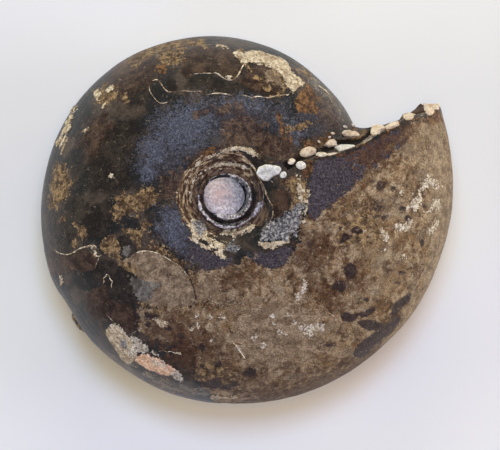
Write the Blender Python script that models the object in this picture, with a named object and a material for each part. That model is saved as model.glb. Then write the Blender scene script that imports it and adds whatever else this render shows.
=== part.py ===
"""A closely coiled ammonite, broken across its last whorl and lying on one flank.

Metres, +Z up. The coil's axis is vertical, and the shell coils outwards
anticlockwise as seen from above. The origin is under the middle of the
shell's outline, on the surface that it rests on.
"""

import math

import bmesh
import bpy
from mathutils import Matrix, Vector, noise
from mathutils.bvhtree import BVHTree

MM = 0.001

# The coil: radii are measured from its axis, heights from its median plane.
AXIS_X = -3.66 * MM
AXIS_Y = 4.33 * MM
MEDIAN_HEIGHT = 19.3 * MM
BREAK_ANGLE = math.radians(22.5)
INNER_VENTER_RADIUS = 27.1 * MM
WHORL_GROWTH = 1.59
OUTLINE_SWELL_SIDE = -0.0059
OUTLINE_SWELL_FRONT = -0.0195

# How far each flank stands from the median plane at the broken end, and how
# much that grew over the last whorl.
UPPER_HALF_WIDTH = 22.0 * MM
UPPER_GROWTH = 1.22
LOWER_HALF_WIDTH = 21.2 * MM
LOWER_GROWTH = 1.10
FLANK_FLATNESS = 2.35
VENTER_FLATNESS = 2.15

# The umbilicus: (radius, depth below its shoulder), from the filled middle out.
UPPER_UMBILICUS = (
    (1.8 * MM, 1.00 * MM),
    (3.5 * MM, 1.10 * MM),
    (3.9 * MM, 2.10 * MM),
    (4.7 * MM, 1.20 * MM),
    (5.7 * MM, 2.00 * MM),
    (7.0 * MM, 1.35 * MM),
    (8.3 * MM, 0.45 * MM),
)
LOWER_UMBILICUS = (
    (3.0 * MM, 1.50 * MM),
    (4.2 * MM, 2.60 * MM),
    (5.7 * MM, 2.30 * MM),
    (7.0 * MM, 1.60 * MM),
    (8.3 * MM, 0.50 * MM),
)
MIDDLE_DOME = 0.15 * MM
SHOULDER_RADIUS = 9.4 * MM
SEAM_RADIUS = 7.0 * MM
FLANK_RADIUS = 12.0 * MM
UPPER_SHOULDER_HEIGHT = 19.3 * MM
LOWER_SHOULDER_HEIGHT = 19.5 * MM

# The broken face, which is the last chamber wall: how far its edge swings
# near the umbilicus and at mid flank, and how far it runs out over the whorl
# inside it at the flanks and at the venter.
EDGE_SWING = math.radians(11.0)
EDGE_SWING_REACH = 5.0 * MM
EDGE_NOTCH = math.radians(-2.6)
EDGE_NOTCH_RADIUS = 23.5 * MM
EDGE_NOTCH_REACH = 4.0 * MM
FLANK_RUNOUT = math.radians(8.0)
VENTER_RUNOUT = math.radians(11.0)
RUNOUT_EXPONENT = 3
WALL_BULGE = 1.5 * MM
WALL_FOLD = 0.8 * MM
WALL_BULGE_ROOM = 4.0 * WALL_BULGE
WALL_FILLET_EXPONENT = 4
EDGE_FOLD = 0.35 * MM
FOLDS_ON_A_FLANK = 4

# Slow unevenness of the whole surface.
WAVE_HEIGHT = 0.3 * MM
WAVE_LENGTH = 15.0 * MM

# Mesh counts.
STATIONS = 66
FLANK_ROWS = 4 * FOLDS_ON_A_FLANK
WALL_ROWS = 7

# Rounded calcite lumps along the broken edge:
# (radius, angle, length, width, turn), angles in degrees from +X.
UPPER_LUMPS = (
    (9.1 * MM, 30.0, 4.4 * MM, 2.6 * MM, 0.0),
    (11.2 * MM, 21.0, 1.6 * MM, 1.2 * MM, 45.0),
    (14.9 * MM, 23.0, 2.1 * MM, 1.6 * MM, 30.0),
    (13.5 * MM, 28.5, 1.6 * MM, 1.3 * MM, 30.0),
    (17.1 * MM, 29.0, 3.1 * MM, 1.9 * MM, 5.0),
    (19.2 * MM, 24.0, 2.0 * MM, 1.1 * MM, 0.0),
    (21.5 * MM, 27.2, 2.3 * MM, 1.5 * MM, 15.0),
    (23.4 * MM, 21.8, 3.5 * MM, 1.9 * MM, 5.0),
    (25.4 * MM, 27.2, 3.3 * MM, 1.5 * MM, 0.0),
    (30.5 * MM, 23.2, 2.7 * MM, 2.2 * MM, 20.0),
    (32.8 * MM, 23.2, 1.9 * MM, 1.1 * MM, 20.0),
    (36.5 * MM, 23.2, 2.6 * MM, 1.5 * MM, 0.0),
    (40.5 * MM, 22.9, 2.8 * MM, 2.0 * MM, 10.0),
)
LOWER_LUMPS = (
    (11.0 * MM, 25.0, 2.6 * MM, 1.8 * MM, 10.0),
    (16.2 * MM, 27.0, 2.8 * MM, 1.8 * MM, 40.0),
    (21.0 * MM, 25.0, 2.4 * MM, 1.6 * MM, 0.0),
    (26.0 * MM, 26.5, 3.0 * MM, 1.7 * MM, 20.0),
    (32.0 * MM, 23.0, 2.2 * MM, 1.6 * MM, 0.0),
    (37.5 * MM, 23.0, 2.6 * MM, 1.8 * MM, 30.0),
)
LUMP_THICKNESS = 0.62
LUMP_SUNK = 0.25

# A lump is a ball, one unit across, made uneven and stretched to its size.
BALL_RADIUS = 0.5
BALL_SUBDIVISIONS = 2
BALL_UNEVENNESS = 0.16
BALL_BUMPS = 2.2
BALL_VARIETY = 900.0

# Lumps of matrix still stuck to the outside of the shell: (radius, angle,
# height above the median plane, length, width, thickness, turn).
STUCK_MATRIX = (
    (34.6 * MM, 220.5, -2.0 * MM, 3.4 * MM, 5.0 * MM, 4.2 * MM, 312.0),
)
CRUST_PLATES = (
    (35.0 * MM, 235.5, 8.4 * MM, 4.2 * MM, 135.0),
    (34.4 * MM, 246.0, 7.6 * MM, 3.4 * MM, 152.0),
)
CRUST_THICKNESS = 2.2 * MM
CRUST_PROUD = 0.45 * MM

GROUND_CUTTER_SIZE = 100.0 * MM
SHARP_EDGE = math.radians(40.0)

SHELL_COLOUR = (0.10, 0.075, 0.055, 1.0)
SHELL_ROUGHNESS = 0.45


def clear_scene():
    for obj in list(bpy.data.objects):
        bpy.data.objects.remove(obj)


def smooth_step(low, high, value):
    share = min(1.0, max(0.0, (value - low) / (high - low)))
    return share * share * (3.0 - 2.0 * share)


def mix(a, b, share):
    return a + (b - a) * share


def venter_radius(turn):
    """Radius of the shell's outer rim, turn whorls after the start of the last one."""
    swell = OUTLINE_SWELL_SIDE * math.sin(2 * math.pi * turn)
    swell += OUTLINE_SWELL_FRONT * math.cos(2 * math.pi * turn)
    return INNER_VENTER_RADIUS * WHORL_GROWTH**turn * math.exp(swell)


def half_width(turn, upper):
    if upper:
        return UPPER_HALF_WIDTH * UPPER_GROWTH ** (turn - 1.0)
    return LOWER_HALF_WIDTH * LOWER_GROWTH ** (turn - 1.0)


def flank_height(radius, turn, upper):
    """Distance of the flank from the median plane, at a radius and a turn."""
    reach = min(1.0, radius / venter_radius(turn)) ** FLANK_FLATNESS
    bare = half_width(turn, upper) * (1.0 - reach) ** (1.0 / VENTER_FLATNESS)
    shoulder = UPPER_SHOULDER_HEIGHT if upper else LOWER_SHOULDER_HEIGHT
    share = smooth_step(SEAM_RADIUS, FLANK_RADIUS, radius)
    return mix(shoulder, bare, share)


def edge_angle(radius, upper):
    """Where the broken edge runs, as an angle past BREAK_ANGLE."""
    if not upper:
        return 0.0
    inner = (radius - SHOULDER_RADIUS) / EDGE_SWING_REACH
    middle = (radius - EDGE_NOTCH_RADIUS) / EDGE_NOTCH_REACH
    swing = EDGE_SWING * math.exp(-(max(0.0, inner) ** 2))
    return swing + EDGE_NOTCH * math.exp(-(middle**2))


def runout(share):
    """How far the whorl inside starts ahead of the edge; share is 1 at the venter."""
    return mix(FLANK_RUNOUT, VENTER_RUNOUT, share**RUNOUT_EXPONENT)


def flank_radius(share, turn):
    """Radius of a row on the flank; share runs from 0 at the shoulder to 1."""
    rim = venter_radius(turn)
    first = math.asin((SHOULDER_RADIUS / rim) ** (FLANK_FLATNESS / 2.0))
    slope = mix(first, math.pi / 2.0, share)
    return rim * math.sin(slope) ** (2.0 / FLANK_FLATNESS)


def placed(radius, angle, height):
    return Vector(
        (
            AXIS_X + radius * math.cos(angle),
            AXIS_Y + radius * math.sin(angle),
            MEDIAN_HEIGHT + height,
        )
    )


def fold(share):
    """The frilled chamber wall's wave along a flank, from -1 to 1."""
    return math.cos(2 * math.pi * FOLDS_ON_A_FLANK * share)


def flank_point(share, turn, upper):
    radius = flank_radius(share, turn)
    height = flank_height(radius, turn, upper)
    angle = BREAK_ANGLE + edge_angle(radius, upper) + 2 * math.pi * turn
    angle += EDGE_FOLD / radius * fold(share)
    return placed(radius, angle, height if upper else -height)


def umbilicus_point(radius, depth, turn, upper):
    height = flank_height(radius, turn, upper) - depth
    angle = BREAK_ANGLE + edge_angle(radius, upper) + 2 * math.pi * turn
    return placed(radius, angle, height if upper else -height)


def section_rows():
    """The rows of one cross-section from the upper middle to the lower one.

    Each row is a function of the turn, with its share of the way out to the
    venter, or None where the whorls share one wall.
    """
    rows = []
    for radius, depth in UPPER_UMBILICUS:
        share = None if radius <= SEAM_RADIUS else 0.0
        rows.append((lambda t, r=radius, d=depth: umbilicus_point(r, d, t, True), share))
    for step in range(FLANK_ROWS + 1):
        share = step / FLANK_ROWS
        rows.append((lambda t, s=share: flank_point(s, t, True), share))
    for step in reversed(range(FLANK_ROWS)):
        share = step / FLANK_ROWS
        rows.append((lambda t, s=share: flank_point(s, t, False), share))
    for radius, depth in reversed(LOWER_UMBILICUS):
        share = None if radius <= SEAM_RADIUS else 0.0
        rows.append((lambda t, r=radius, d=depth: umbilicus_point(r, d, t, False), share))
    return rows


def wall_point(outer, inner, share_in, share_out):
    """A point of the chamber wall, share_in of the way from its edge inwards."""
    point = outer.lerp(inner, share_in)
    ahead = Vector((-math.sin(BREAK_ANGLE), math.cos(BREAK_ANGLE), 0.0))
    lean = (inner - outer).dot(ahead) * (share_in**WALL_FILLET_EXPONENT - share_in)
    room = min(1.0, (inner - outer).length / WALL_BULGE_ROOM)
    swell = math.sin(math.pi * share_in) * room * (WALL_BULGE + WALL_FOLD * fold(share_out))
    return point + ahead * (lean + swell)


def shell_mesh():
    """The coiled shell with its broken face, as one closed mesh."""
    bm = bmesh.new()
    rows = section_rows()
    grid = []
    for point_at, share in rows:
        start = 0.0 if share is None else runout(share) / (2 * math.pi)
        count = STATIONS if share is None else STATIONS + 1
        turns = [mix(start, 1.0, i / STATIONS) for i in range(count)]
        row = [bm.verts.new(point_at(turn)) for turn in turns]
        if share is None:
            row += [row[0]] * WALL_ROWS + [row[0]]
        else:
            outer, inner = row[-1].co, row[0].co
            for step in range(1, WALL_ROWS):
                share_in = step / WALL_ROWS
                row.append(bm.verts.new(wall_point(outer, inner, share_in, share)))
            row.append(row[0])
        grid.append(row)
    for above, below in zip(grid, grid[1:]):
        for i in range(len(above) - 1):
            corners = (above[i], above[i + 1], below[i + 1], below[i])
            corners = tuple(dict.fromkeys(corners))
            if len(corners) > 2:
                bm.faces.new(corners)
    for row, height in ((grid[0], MIDDLE_DOME), (grid[-1], -MIDDLE_DOME)):
        ring = row[:STATIONS]
        middle = sum((v.co for v in ring), Vector()) / STATIONS
        pole = bm.verts.new(middle + Vector((0.0, 0.0, height)))
        for i, corner in enumerate(ring):
            bm.faces.new((pole, corner, ring[(i + 1) % STATIONS]))
    bmesh.ops.recalc_face_normals(bm, faces=bm.faces)
    bm.normal_update()
    for vert in bm.verts:
        vert.co += vert.normal * WAVE_HEIGHT * noise.noise(vert.co / WAVE_LENGTH)
    return bm


def lump(name, place, size, turn, collection):
    """An irregular rounded lump that a Boolean joins to the shell."""
    bm = bmesh.new()
    bmesh.ops.create_icosphere(bm, subdivisions=BALL_SUBDIVISIONS, radius=BALL_RADIUS)
    for vert in bm.verts:
        spot = vert.co * BALL_BUMPS + place * BALL_VARIETY
        vert.co *= 1.0 + BALL_UNEVENNESS * noise.noise(spot)
    bmesh.ops.scale(bm, verts=bm.verts, vec=size)
    mesh = bpy.data.meshes.new(name)
    bm.to_mesh(mesh)
    bm.free()
    obj = bpy.data.objects.new(name, mesh)
    obj.matrix_world = Matrix.Translation(place) @ Matrix.Rotation(turn, 4, "Z")
    obj.hide_render = True
    obj.display_type = "WIRE"
    collection.objects.link(obj)
    return obj


def surface_at(tree, x, y, upper):
    """The point of the shell straight above or below x, y."""
    direction = Vector((0.0, 0.0, -1.0 if upper else 1.0))
    hit, _, _, _ = tree.ray_cast(Vector((x, y, 0.0)) - direction, direction)
    return hit


def edge_lumps(tree, collection):
    for upper, lumps in ((True, UPPER_LUMPS), (False, LOWER_LUMPS)):
        for i, (radius, angle, length, width, turn) in enumerate(lumps):
            spot = placed(radius, math.radians(angle), 0.0)
            hit = surface_at(tree, spot.x, spot.y, upper)
            thick = width * LUMP_THICKNESS
            sunk = thick * LUMP_SUNK
            hit.z += -sunk if upper else sunk
            name = f"{'upper' if upper else 'lower'}_lump_{i}"
            size = Vector((length, width, thick))
            lump(name, hit, size, math.radians(turn), collection)


def stuck_lumps(tree, collection):
    for i, spot in enumerate(STUCK_MATRIX):
        radius, angle, height, length, width, thick, turn = spot
        place = placed(radius, math.radians(angle), height)
        size = Vector((width, length, thick))
        lump(f"stuck_matrix_{i}", place, size, math.radians(turn), collection)
    for i, (radius, angle, length, width, turn) in enumerate(CRUST_PLATES):
        spot = placed(radius, math.radians(angle), 0.0)
        hit, normal = tree.ray_cast(Vector((spot.x, spot.y, 1.0)), Vector((0, 0, -1)))[:2]
        place = hit + normal * (CRUST_PROUD - CRUST_THICKNESS / 2.0)
        size = Vector((length, width, CRUST_THICKNESS))
        plate = lump(f"crust_{i}", place, size, math.radians(turn), collection)
        lean = Vector((0.0, 0.0, 1.0)).rotation_difference(normal).to_matrix().to_4x4()
        spin = Matrix.Rotation(math.radians(turn), 4, "Z")
        plate.matrix_world = Matrix.Translation(place) @ lean @ spin


def ground_cutter():
    """Everything under the resting face."""
    bm = bmesh.new()
    bmesh.ops.create_cube(bm, size=GROUND_CUTTER_SIZE)
    mesh = bpy.data.meshes.new("ground_cutter")
    bm.to_mesh(mesh)
    bm.free()
    obj = bpy.data.objects.new("ground_cutter", mesh)
    obj.location = (0.0, 0.0, -GROUND_CUTTER_SIZE / 2.0)
    obj.hide_render = True
    obj.display_type = "WIRE"
    bpy.context.scene.collection.objects.link(obj)
    return obj


def fossil_material():
    material = bpy.data.materials.new("fossil_stone")
    material.use_nodes = True
    shader = material.node_tree.nodes["Principled BSDF"]
    shader.inputs["Base Color"].default_value = SHELL_COLOUR
    shader.inputs["Roughness"].default_value = SHELL_ROUGHNESS
    shader.inputs["Metallic"].default_value = 0.0
    return material


def build_ammonite():
    bm = shell_mesh()
    tree = BVHTree.FromBMesh(bm)
    mesh = bpy.data.meshes.new("ammonite")
    bm.to_mesh(mesh)
    bm.free()
    shell = bpy.data.objects.new("ammonite", mesh)
    bpy.context.scene.collection.objects.link(shell)
    mesh.materials.append(fossil_material())
    mesh.shade_smooth()
    mesh.set_sharp_from_angle(angle=SHARP_EDGE)

    lumps = bpy.data.collections.new("lumps")
    bpy.context.scene.collection.children.link(lumps)
    edge_lumps(tree, lumps)
    stuck_lumps(tree, lumps)
    joined = shell.modifiers.new("join_lumps", "BOOLEAN")
    joined.operation = "UNION"
    joined.operand_type = "COLLECTION"
    joined.collection = lumps
    rest = shell.modifiers.new("resting_face", "BOOLEAN")
    rest.operation = "DIFFERENCE"
    rest.object = ground_cutter()


clear_scene()
build_ammonite()
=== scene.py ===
"""The looks of a coiled ammonite fossil that lies on its flank.

Metres, +Z up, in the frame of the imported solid. The coil's axis is vertical.
Patches of finish are placed by pixels of the picture, whose frame is 500 by
450 and looks straight down: Picture turns them into places on the fossil.
"""

import logging
import math
from collections.abc import Callable
from dataclasses import dataclass
from enum import Enum

import bpy
import numpy as np
from mathutils import Color, Matrix, Vector
from mathutils.bvhtree import BVHTree


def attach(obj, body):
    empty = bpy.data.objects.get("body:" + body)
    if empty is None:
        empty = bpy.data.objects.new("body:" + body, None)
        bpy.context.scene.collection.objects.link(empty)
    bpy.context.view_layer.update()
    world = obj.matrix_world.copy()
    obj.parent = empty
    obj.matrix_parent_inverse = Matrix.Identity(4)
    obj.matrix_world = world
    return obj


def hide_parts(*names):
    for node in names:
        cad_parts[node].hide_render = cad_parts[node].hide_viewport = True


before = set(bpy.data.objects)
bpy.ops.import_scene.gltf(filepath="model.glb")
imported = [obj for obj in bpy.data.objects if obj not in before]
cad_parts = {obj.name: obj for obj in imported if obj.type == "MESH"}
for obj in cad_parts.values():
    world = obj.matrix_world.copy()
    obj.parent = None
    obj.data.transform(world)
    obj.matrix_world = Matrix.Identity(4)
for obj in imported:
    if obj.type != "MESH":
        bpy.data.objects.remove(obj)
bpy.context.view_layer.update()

MM = 0.001
NODE = "ammonite"
TINY = 1e-9
MERGED = 0.0008 * MM
NOT_SHOWN = -3.0

Array = np.ndarray
Pixel = tuple[float, float]
Colour = tuple[float, float, float]
Stops = tuple[tuple[float, int, int, int], ...]
Waves = tuple[tuple[float, float, float], ...]
Piece, Mesh, Paint = bpy.types.Object, bpy.types.Mesh, bpy.types.Material
Tree, Node, Socket = bpy.types.NodeTree, bpy.types.Node, bpy.types.NodeSocket

log = logging.getLogger("ammonite")


def smooth_step(low: float, high: float, value: Array) -> Array:
    """Ease values from 0 at low to 1 at high."""
    share = np.clip((value - low) / (high - low), 0.0, 1.0)
    return share * share * (3.0 - 2.0 * share)


def mix(a: Array, b: Array, share: Array) -> Array:
    """Blend a into b by a share from 0 to 1."""
    return a + (b - a) * share


def tone(red: int, green: int, blue: int) -> Colour:
    """Turn a colour seen on a screen, 0 to 255, into linear light."""
    return tuple(Color((red / 255, green / 255, blue / 255)).from_srgb_to_scene_linear())


def ripples(angle: Array, waves: Waves) -> Array:
    """Add up sine waves, each with its height, its count and its start."""
    return sum(height * np.sin(count * angle + start) for height, count, start in waves)


@dataclass(frozen=True)
class Unevenness:
    """Smooth random relief without a direction, the same on every run."""

    size: float
    seed: float = 0.0
    layers: int = 1

    KNOT_MIX = np.array(((127.1, 269.5, 113.5), (311.7, 183.3, 271.9), (74.7, 246.1, 124.6)))
    KNOT_SPREAD = 43758.5453
    LAYER_SHIFT = 7.31
    STRENGTH = 1.6

    def at(self, points: Array) -> Array:
        """Sample the relief.

        Args:
            points: places in metres, one a row.

        Returns:
            Values from about -1 to 1, one for each place.
        """
        total = np.zeros(len(points))
        weight = 0.0
        for layer in range(self.layers):
            share = 0.5**layer
            places = points / self.size * 2.0**layer + self.seed + self.LAYER_SHIFT * layer
            total += share * self._layer(places)
            weight += share
        return total / weight

    def _layer(self, places: Array) -> Array:
        """Sample one layer of the relief, with knots one unit apart.

        Args:
            places: places in units of the knots, one a row.

        Returns:
            Values, one for each place.
        """
        cell = np.floor(places)
        part = places - cell
        ease = part * part * part * (part * (part * 6.0 - 15.0) + 10.0)
        total = np.zeros(len(places))
        for steps in np.ndindex(2, 2, 2):
            corner = np.array(steps, float)
            spin = np.sin((cell + corner) @ self.KNOT_MIX) * self.KNOT_SPREAD
            slope = 2.0 * (spin - np.floor(spin)) - 1.0
            weight = np.prod(np.where(corner > 0.0, ease, 1.0 - ease), axis=1)
            total += weight * np.einsum("ij,ij->i", slope, part - corner)
        return total * self.STRENGTH


@dataclass(frozen=True)
class Picture:
    """The picture's frame, looking straight down at the fossil."""

    width: float = 500.0
    height: float = 450.0
    pixel: float = 0.1829 * MM
    origin: Pixel = (246.0, 220.7)
    level: float = 19.3 * MM
    distance: float = 600.0 * MM

    def middle(self) -> tuple[float, float]:
        """Where the picture's centre lies, in metres."""
        across, up = self.width / 2.0 - self.origin[0], self.origin[1] - self.height / 2.0
        return across * self.pixel, up * self.pixel

    def pixels(self, points: Array) -> tuple[Array, Array]:
        """Find where places appear in the picture.

        Args:
            points: places in metres, one a row.

        Returns:
            Their pixel columns and rows.
        """
        x, y = self.middle()
        reach = self.pixel * (1.0 - (points[:, 2] - self.level) / self.distance)
        return self.width / 2.0 + (points[:, 0] - x) / reach, self.height / 2.0 - (points[:, 1] - y) / reach

    def sight(self, pixel: Pixel) -> tuple[Vector, Vector]:
        """Find the line of sight through a pixel.

        Args:
            pixel: column and row.

        Returns:
            The camera's place, and the direction of the line.
        """
        x, y = self.middle()
        eye = Vector((x, y, self.level + self.distance))
        aside = (pixel[0] - self.width / 2.0) * self.pixel
        ahead = (self.height / 2.0 - pixel[1]) * self.pixel
        return eye, Vector((aside, ahead, -self.distance)).normalized()


PICTURE = Picture()


@dataclass(frozen=True)
class Coil:
    """The shell's spiral and its cross-section, as in the solid model.

    Turns count whorls from the last one's start. Each swell of the rim has its
    middle and its reach in turns, and its height as a share of the radius.
    """

    axis_x: float = -3.66 * MM
    axis_y: float = 4.33 * MM
    median_height: float = 19.3 * MM
    break_angle: float = math.radians(22.5)
    inner_venter_radius: float = 27.1 * MM
    whorl_growth: float = 1.59
    swell_side: float = -0.0059
    swell_front: float = -0.0195
    swells: tuple[tuple[float, float, float], ...] = (
        (0.085, 0.03, -0.01), (0.26, 0.055, 0.006), (0.51, 0.012, 0.006), (0.535, 0.02, -0.012),
        (0.9, 0.14, 0.008))
    upper_half_width: float = 22.0 * MM
    upper_growth: float = 1.22
    lower_half_width: float = 21.2 * MM
    lower_growth: float = 1.10
    flank_flatness: float = 2.35
    venter_flatness: float = 2.15
    shoulder_radius: float = 9.4 * MM
    seam_radius: float = 7.0 * MM
    flank_start: float = 12.0 * MM
    upper_shoulder: float = 19.3 * MM
    lower_shoulder: float = 19.5 * MM
    edge_swing: float = math.radians(11.0)
    edge_swing_reach: float = 5.0 * MM
    edge_notch: float = math.radians(-2.6)
    edge_notch_radius: float = 23.5 * MM
    edge_notch_reach: float = 4.0 * MM
    flank_runout: float = math.radians(8.0)
    venter_runout: float = math.radians(6.0)
    wall_bulge: float = 0.18 * MM
    wall_fold: float = 0.12 * MM
    edge_fold: float = 0.35 * MM
    folds: int = 4
    frill: float = 0.16 * MM
    frills: int = 13
    frill_bend: float = 2.0
    runout_power: int = 3

    def venter_radius(self, turn: Array) -> Array:
        """Work out the outer rim's radius.

        Args:
            turn: how many whorls on.

        Returns:
            The radius there.
        """
        swell = self.swell_side * np.sin(2 * np.pi * turn) + self.swell_front * np.cos(2 * np.pi * turn)
        for middle, reach, height in self.swells:
            swell = swell + height * np.exp(-((turn - middle) / reach) ** 2)
        return self.inner_venter_radius * self.whorl_growth**turn * np.exp(swell)

    def half_width(self, turn: Array, upper: bool) -> Array:
        """Largest distance of a flank from the median plane."""
        upper_width = self.upper_half_width * self.upper_growth ** (turn - 1.0)
        return upper_width if upper else self.lower_half_width * self.lower_growth ** (turn - 1.0)

    def flank_height(self, radius: Array, turn: Array, upper: bool) -> Array:
        """Work out a flank's distance from the median plane.

        Args:
            radius: how far from the coil's axis.
            turn: how many whorls on.
            upper: whether it is the upper flank.

        Returns:
            The distance there.
        """
        reach = np.minimum(1.0, radius / self.venter_radius(turn)) ** self.flank_flatness
        bare = self.half_width(turn, upper) * (1.0 - reach) ** (1.0 / self.venter_flatness)
        shoulder = self.upper_shoulder if upper else self.lower_shoulder
        return mix(shoulder, bare, smooth_step(self.seam_radius, self.flank_start, radius))

    def edge_angle(self, radius: Array, upper: bool) -> Array:
        """Work out how far past the break angle the broken edge runs.

        Args:
            radius: how far from the coil's axis.
            upper: whether it is the upper flank.

        Returns:
            The angle there.
        """
        if not upper:
            return np.zeros_like(radius)
        inner = np.maximum(0.0, (radius - self.shoulder_radius) / self.edge_swing_reach)
        middle = (radius - self.edge_notch_radius) / self.edge_notch_reach
        return self.edge_swing * np.exp(-(inner**2)) + self.edge_notch * np.exp(-(middle**2))

    def runout(self, share: Array) -> Array:
        """How far ahead of the edge the whorl inside begins."""
        return mix(self.flank_runout, self.venter_runout, share**self.runout_power)

    def flank_radius(self, share: Array, turn: Array) -> Array:
        """Work out a row's radius.

        Args:
            share: how far out it lies, from the shoulder, 0, to the venter, 1.
            turn: how many whorls on.

        Returns:
            The radius there.
        """
        rim = self.venter_radius(turn)
        first = np.arcsin((self.shoulder_radius / rim) ** (self.flank_flatness / 2.0))
        slope = mix(first, np.pi / 2.0, share)
        return rim * np.sin(slope) ** (2.0 / self.flank_flatness)

    def fold(self, share: Array) -> Array:
        """The chamber wall's wave along a flank, from -1 to 1."""
        return np.cos(2 * np.pi * self.folds * share)

    def frilled(self, share: Array) -> Array:
        """The small frills on the chamber wall's folds, from -1 to 1."""
        bend = self.frill_bend * np.sin(2 * np.pi * self.folds * share)
        return np.cos(2 * np.pi * self.frills * share + bend)

    def placed(self, radius: Array, angle: Array, height: Array) -> Array:
        """Place points about the coil's axis.

        Args:
            radius: how far from the axis.
            angle: anticlockwise from +X.
            height: how far above the median plane.

        Returns:
            The points in metres, along the last axis of the array.
        """
        x = self.axis_x + radius * np.cos(angle)
        y = self.axis_y + radius * np.sin(angle)
        return np.stack(np.broadcast_arrays(x, y, self.median_height + height), axis=-1)

    def around(self, points: Array) -> tuple[Array, Array]:
        """Radius and angle of places about the coil's axis."""
        dx, dy = points[:, 0] - self.axis_x, points[:, 1] - self.axis_y
        return np.hypot(dx, dy), np.arctan2(dy, dx)


COIL = Coil()


@dataclass(frozen=True)
class Mark:
    """A patch of finish, placed by pixels of the picture.

    Its edge is soft pixels wide, and unevenness shifts it by up to ragged pixels.
    These two come first in every mark, and the sizes of its own kind follow.
    """

    soft: float = 1.2
    ragged: float = 2.0

    def depth(self, px: Array, py: Array) -> Array:
        """How far inside the patch pixels lie; it is negative outside."""
        raise NotImplementedError

    def corners(self) -> Array:
        """Pixels whose box holds the patch, but for half its width."""
        raise NotImplementedError


def path_distance(path: tuple[Pixel, ...], px: Array, py: Array) -> Array:
    """Work out how far pixels lie from a path of straight runs.

    Args:
        path: the pixels that it joins.
        px: columns of pixels.
        py: their rows.

    Returns:
        The distance of each.
    """
    nearest = np.full(px.shape, np.inf)
    for start, end in zip(path, path[1:]):
        run = (end[0] - start[0], end[1] - start[1])
        length = max(run[0] ** 2 + run[1] ** 2, TINY)
        share = np.clip(((px - start[0]) * run[0] + (py - start[1]) * run[1]) / length, 0.0, 1.0)
        away = np.hypot(px - start[0] - share * run[0], py - start[1] - share * run[1])
        nearest = np.minimum(nearest, away)
    return nearest


def square(x: float, y: float, reach: float) -> Array:
    """Two opposite corners of a square round a pixel."""
    return np.array(((x - reach, y - reach), (x + reach, y + reach)))


@dataclass(frozen=True)
class Drawn(Mark):
    """A patch that follows a path of pixels."""

    path: tuple[Pixel, ...] = ()

    def corners(self) -> Array:
        """The path's points."""
        return np.array(self.path)


@dataclass(frozen=True)
class Stroke(Drawn):
    """A line with a width."""

    width: float = 1.5

    def depth(self, px: Array, py: Array) -> Array:
        """How far inside the line pixels lie; it is negative outside."""
        return self.width / 2.0 - path_distance(self.path, px, py)


@dataclass(frozen=True)
class Area(Drawn):
    """A patch with the path as its outline."""

    def depth(self, px: Array, py: Array) -> Array:
        """Work out how far inside the outline pixels lie.

        Args:
            px: columns of pixels.
            py: their rows.

        Returns:
            The depth of each; it is negative outside.
        """
        closed = self.path + self.path[:1]
        inside = np.zeros(px.shape, bool)
        for start, end in zip(closed, closed[1:]):
            if start[1] != end[1]:
                lean = (end[0] - start[0]) / (end[1] - start[1])
                crossing = (start[1] > py) != (end[1] > py)
                inside ^= crossing & (px < start[0] + lean * (py - start[1]))
        return np.where(inside, 1.0, -1.0) * path_distance(closed, px, py)


@dataclass(frozen=True)
class Spot(Mark):
    """A round or oval patch; turn is in degrees, anticlockwise."""

    x: float = 0.0
    y: float = 0.0
    wide: float = 2.0
    high: float = 2.0
    turn: float = 0.0

    def depth(self, px: Array, py: Array) -> Array:
        """Work out how far inside the oval pixels lie.

        Args:
            px: columns of pixels.
            py: their rows.

        Returns:
            The depth of each; it is negative outside.
        """
        turn = math.radians(self.turn)
        dx, dy = px - self.x, self.y - py
        along = dx * math.cos(turn) + dy * math.sin(turn)
        across = dy * math.cos(turn) - dx * math.sin(turn)
        share = np.hypot(along / self.wide, across / self.high)
        return (1.0 - share) * min(self.wide, self.high)

    def corners(self) -> Array:
        """The corners of a square round the oval."""
        return square(self.x, self.y, max(self.wide, self.high))


@dataclass(frozen=True)
class Ring(Mark):
    """Part of a ring, from one angle to another, anticlockwise in degrees.

    It thins out over the last taper degrees at both ends.
    """

    x: float = 0.0
    y: float = 0.0
    radius: float = 10.0
    width: float = 2.0
    start: float = 0.0
    end: float = 360.0
    taper: float = 20.0

    def depth(self, px: Array, py: Array) -> Array:
        """Work out how far inside the ring pixels lie.

        Args:
            px: columns of pixels.
            py: their rows.

        Returns:
            The depth of each; it is negative outside.
        """
        dx, dy = px - self.x, self.y - py
        middle, half = (self.start + self.end) / 2.0, (self.end - self.start) / 2.0
        aside = np.abs((np.degrees(np.arctan2(dy, dx)) - middle + 180.0) % 360.0 - 180.0)
        beyond = np.radians(np.maximum(0.0, aside - half)) * self.radius
        thin = np.clip((half - aside) / self.taper, 0.0, 1.0) if half < 180.0 else 1.0
        return self.width / 2.0 * thin - np.hypot(np.hypot(dx, dy) - self.radius, beyond)

    def corners(self) -> Array:
        """The corners of a square round the whole ring."""
        return square(self.x, self.y, self.radius + self.width)


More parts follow.
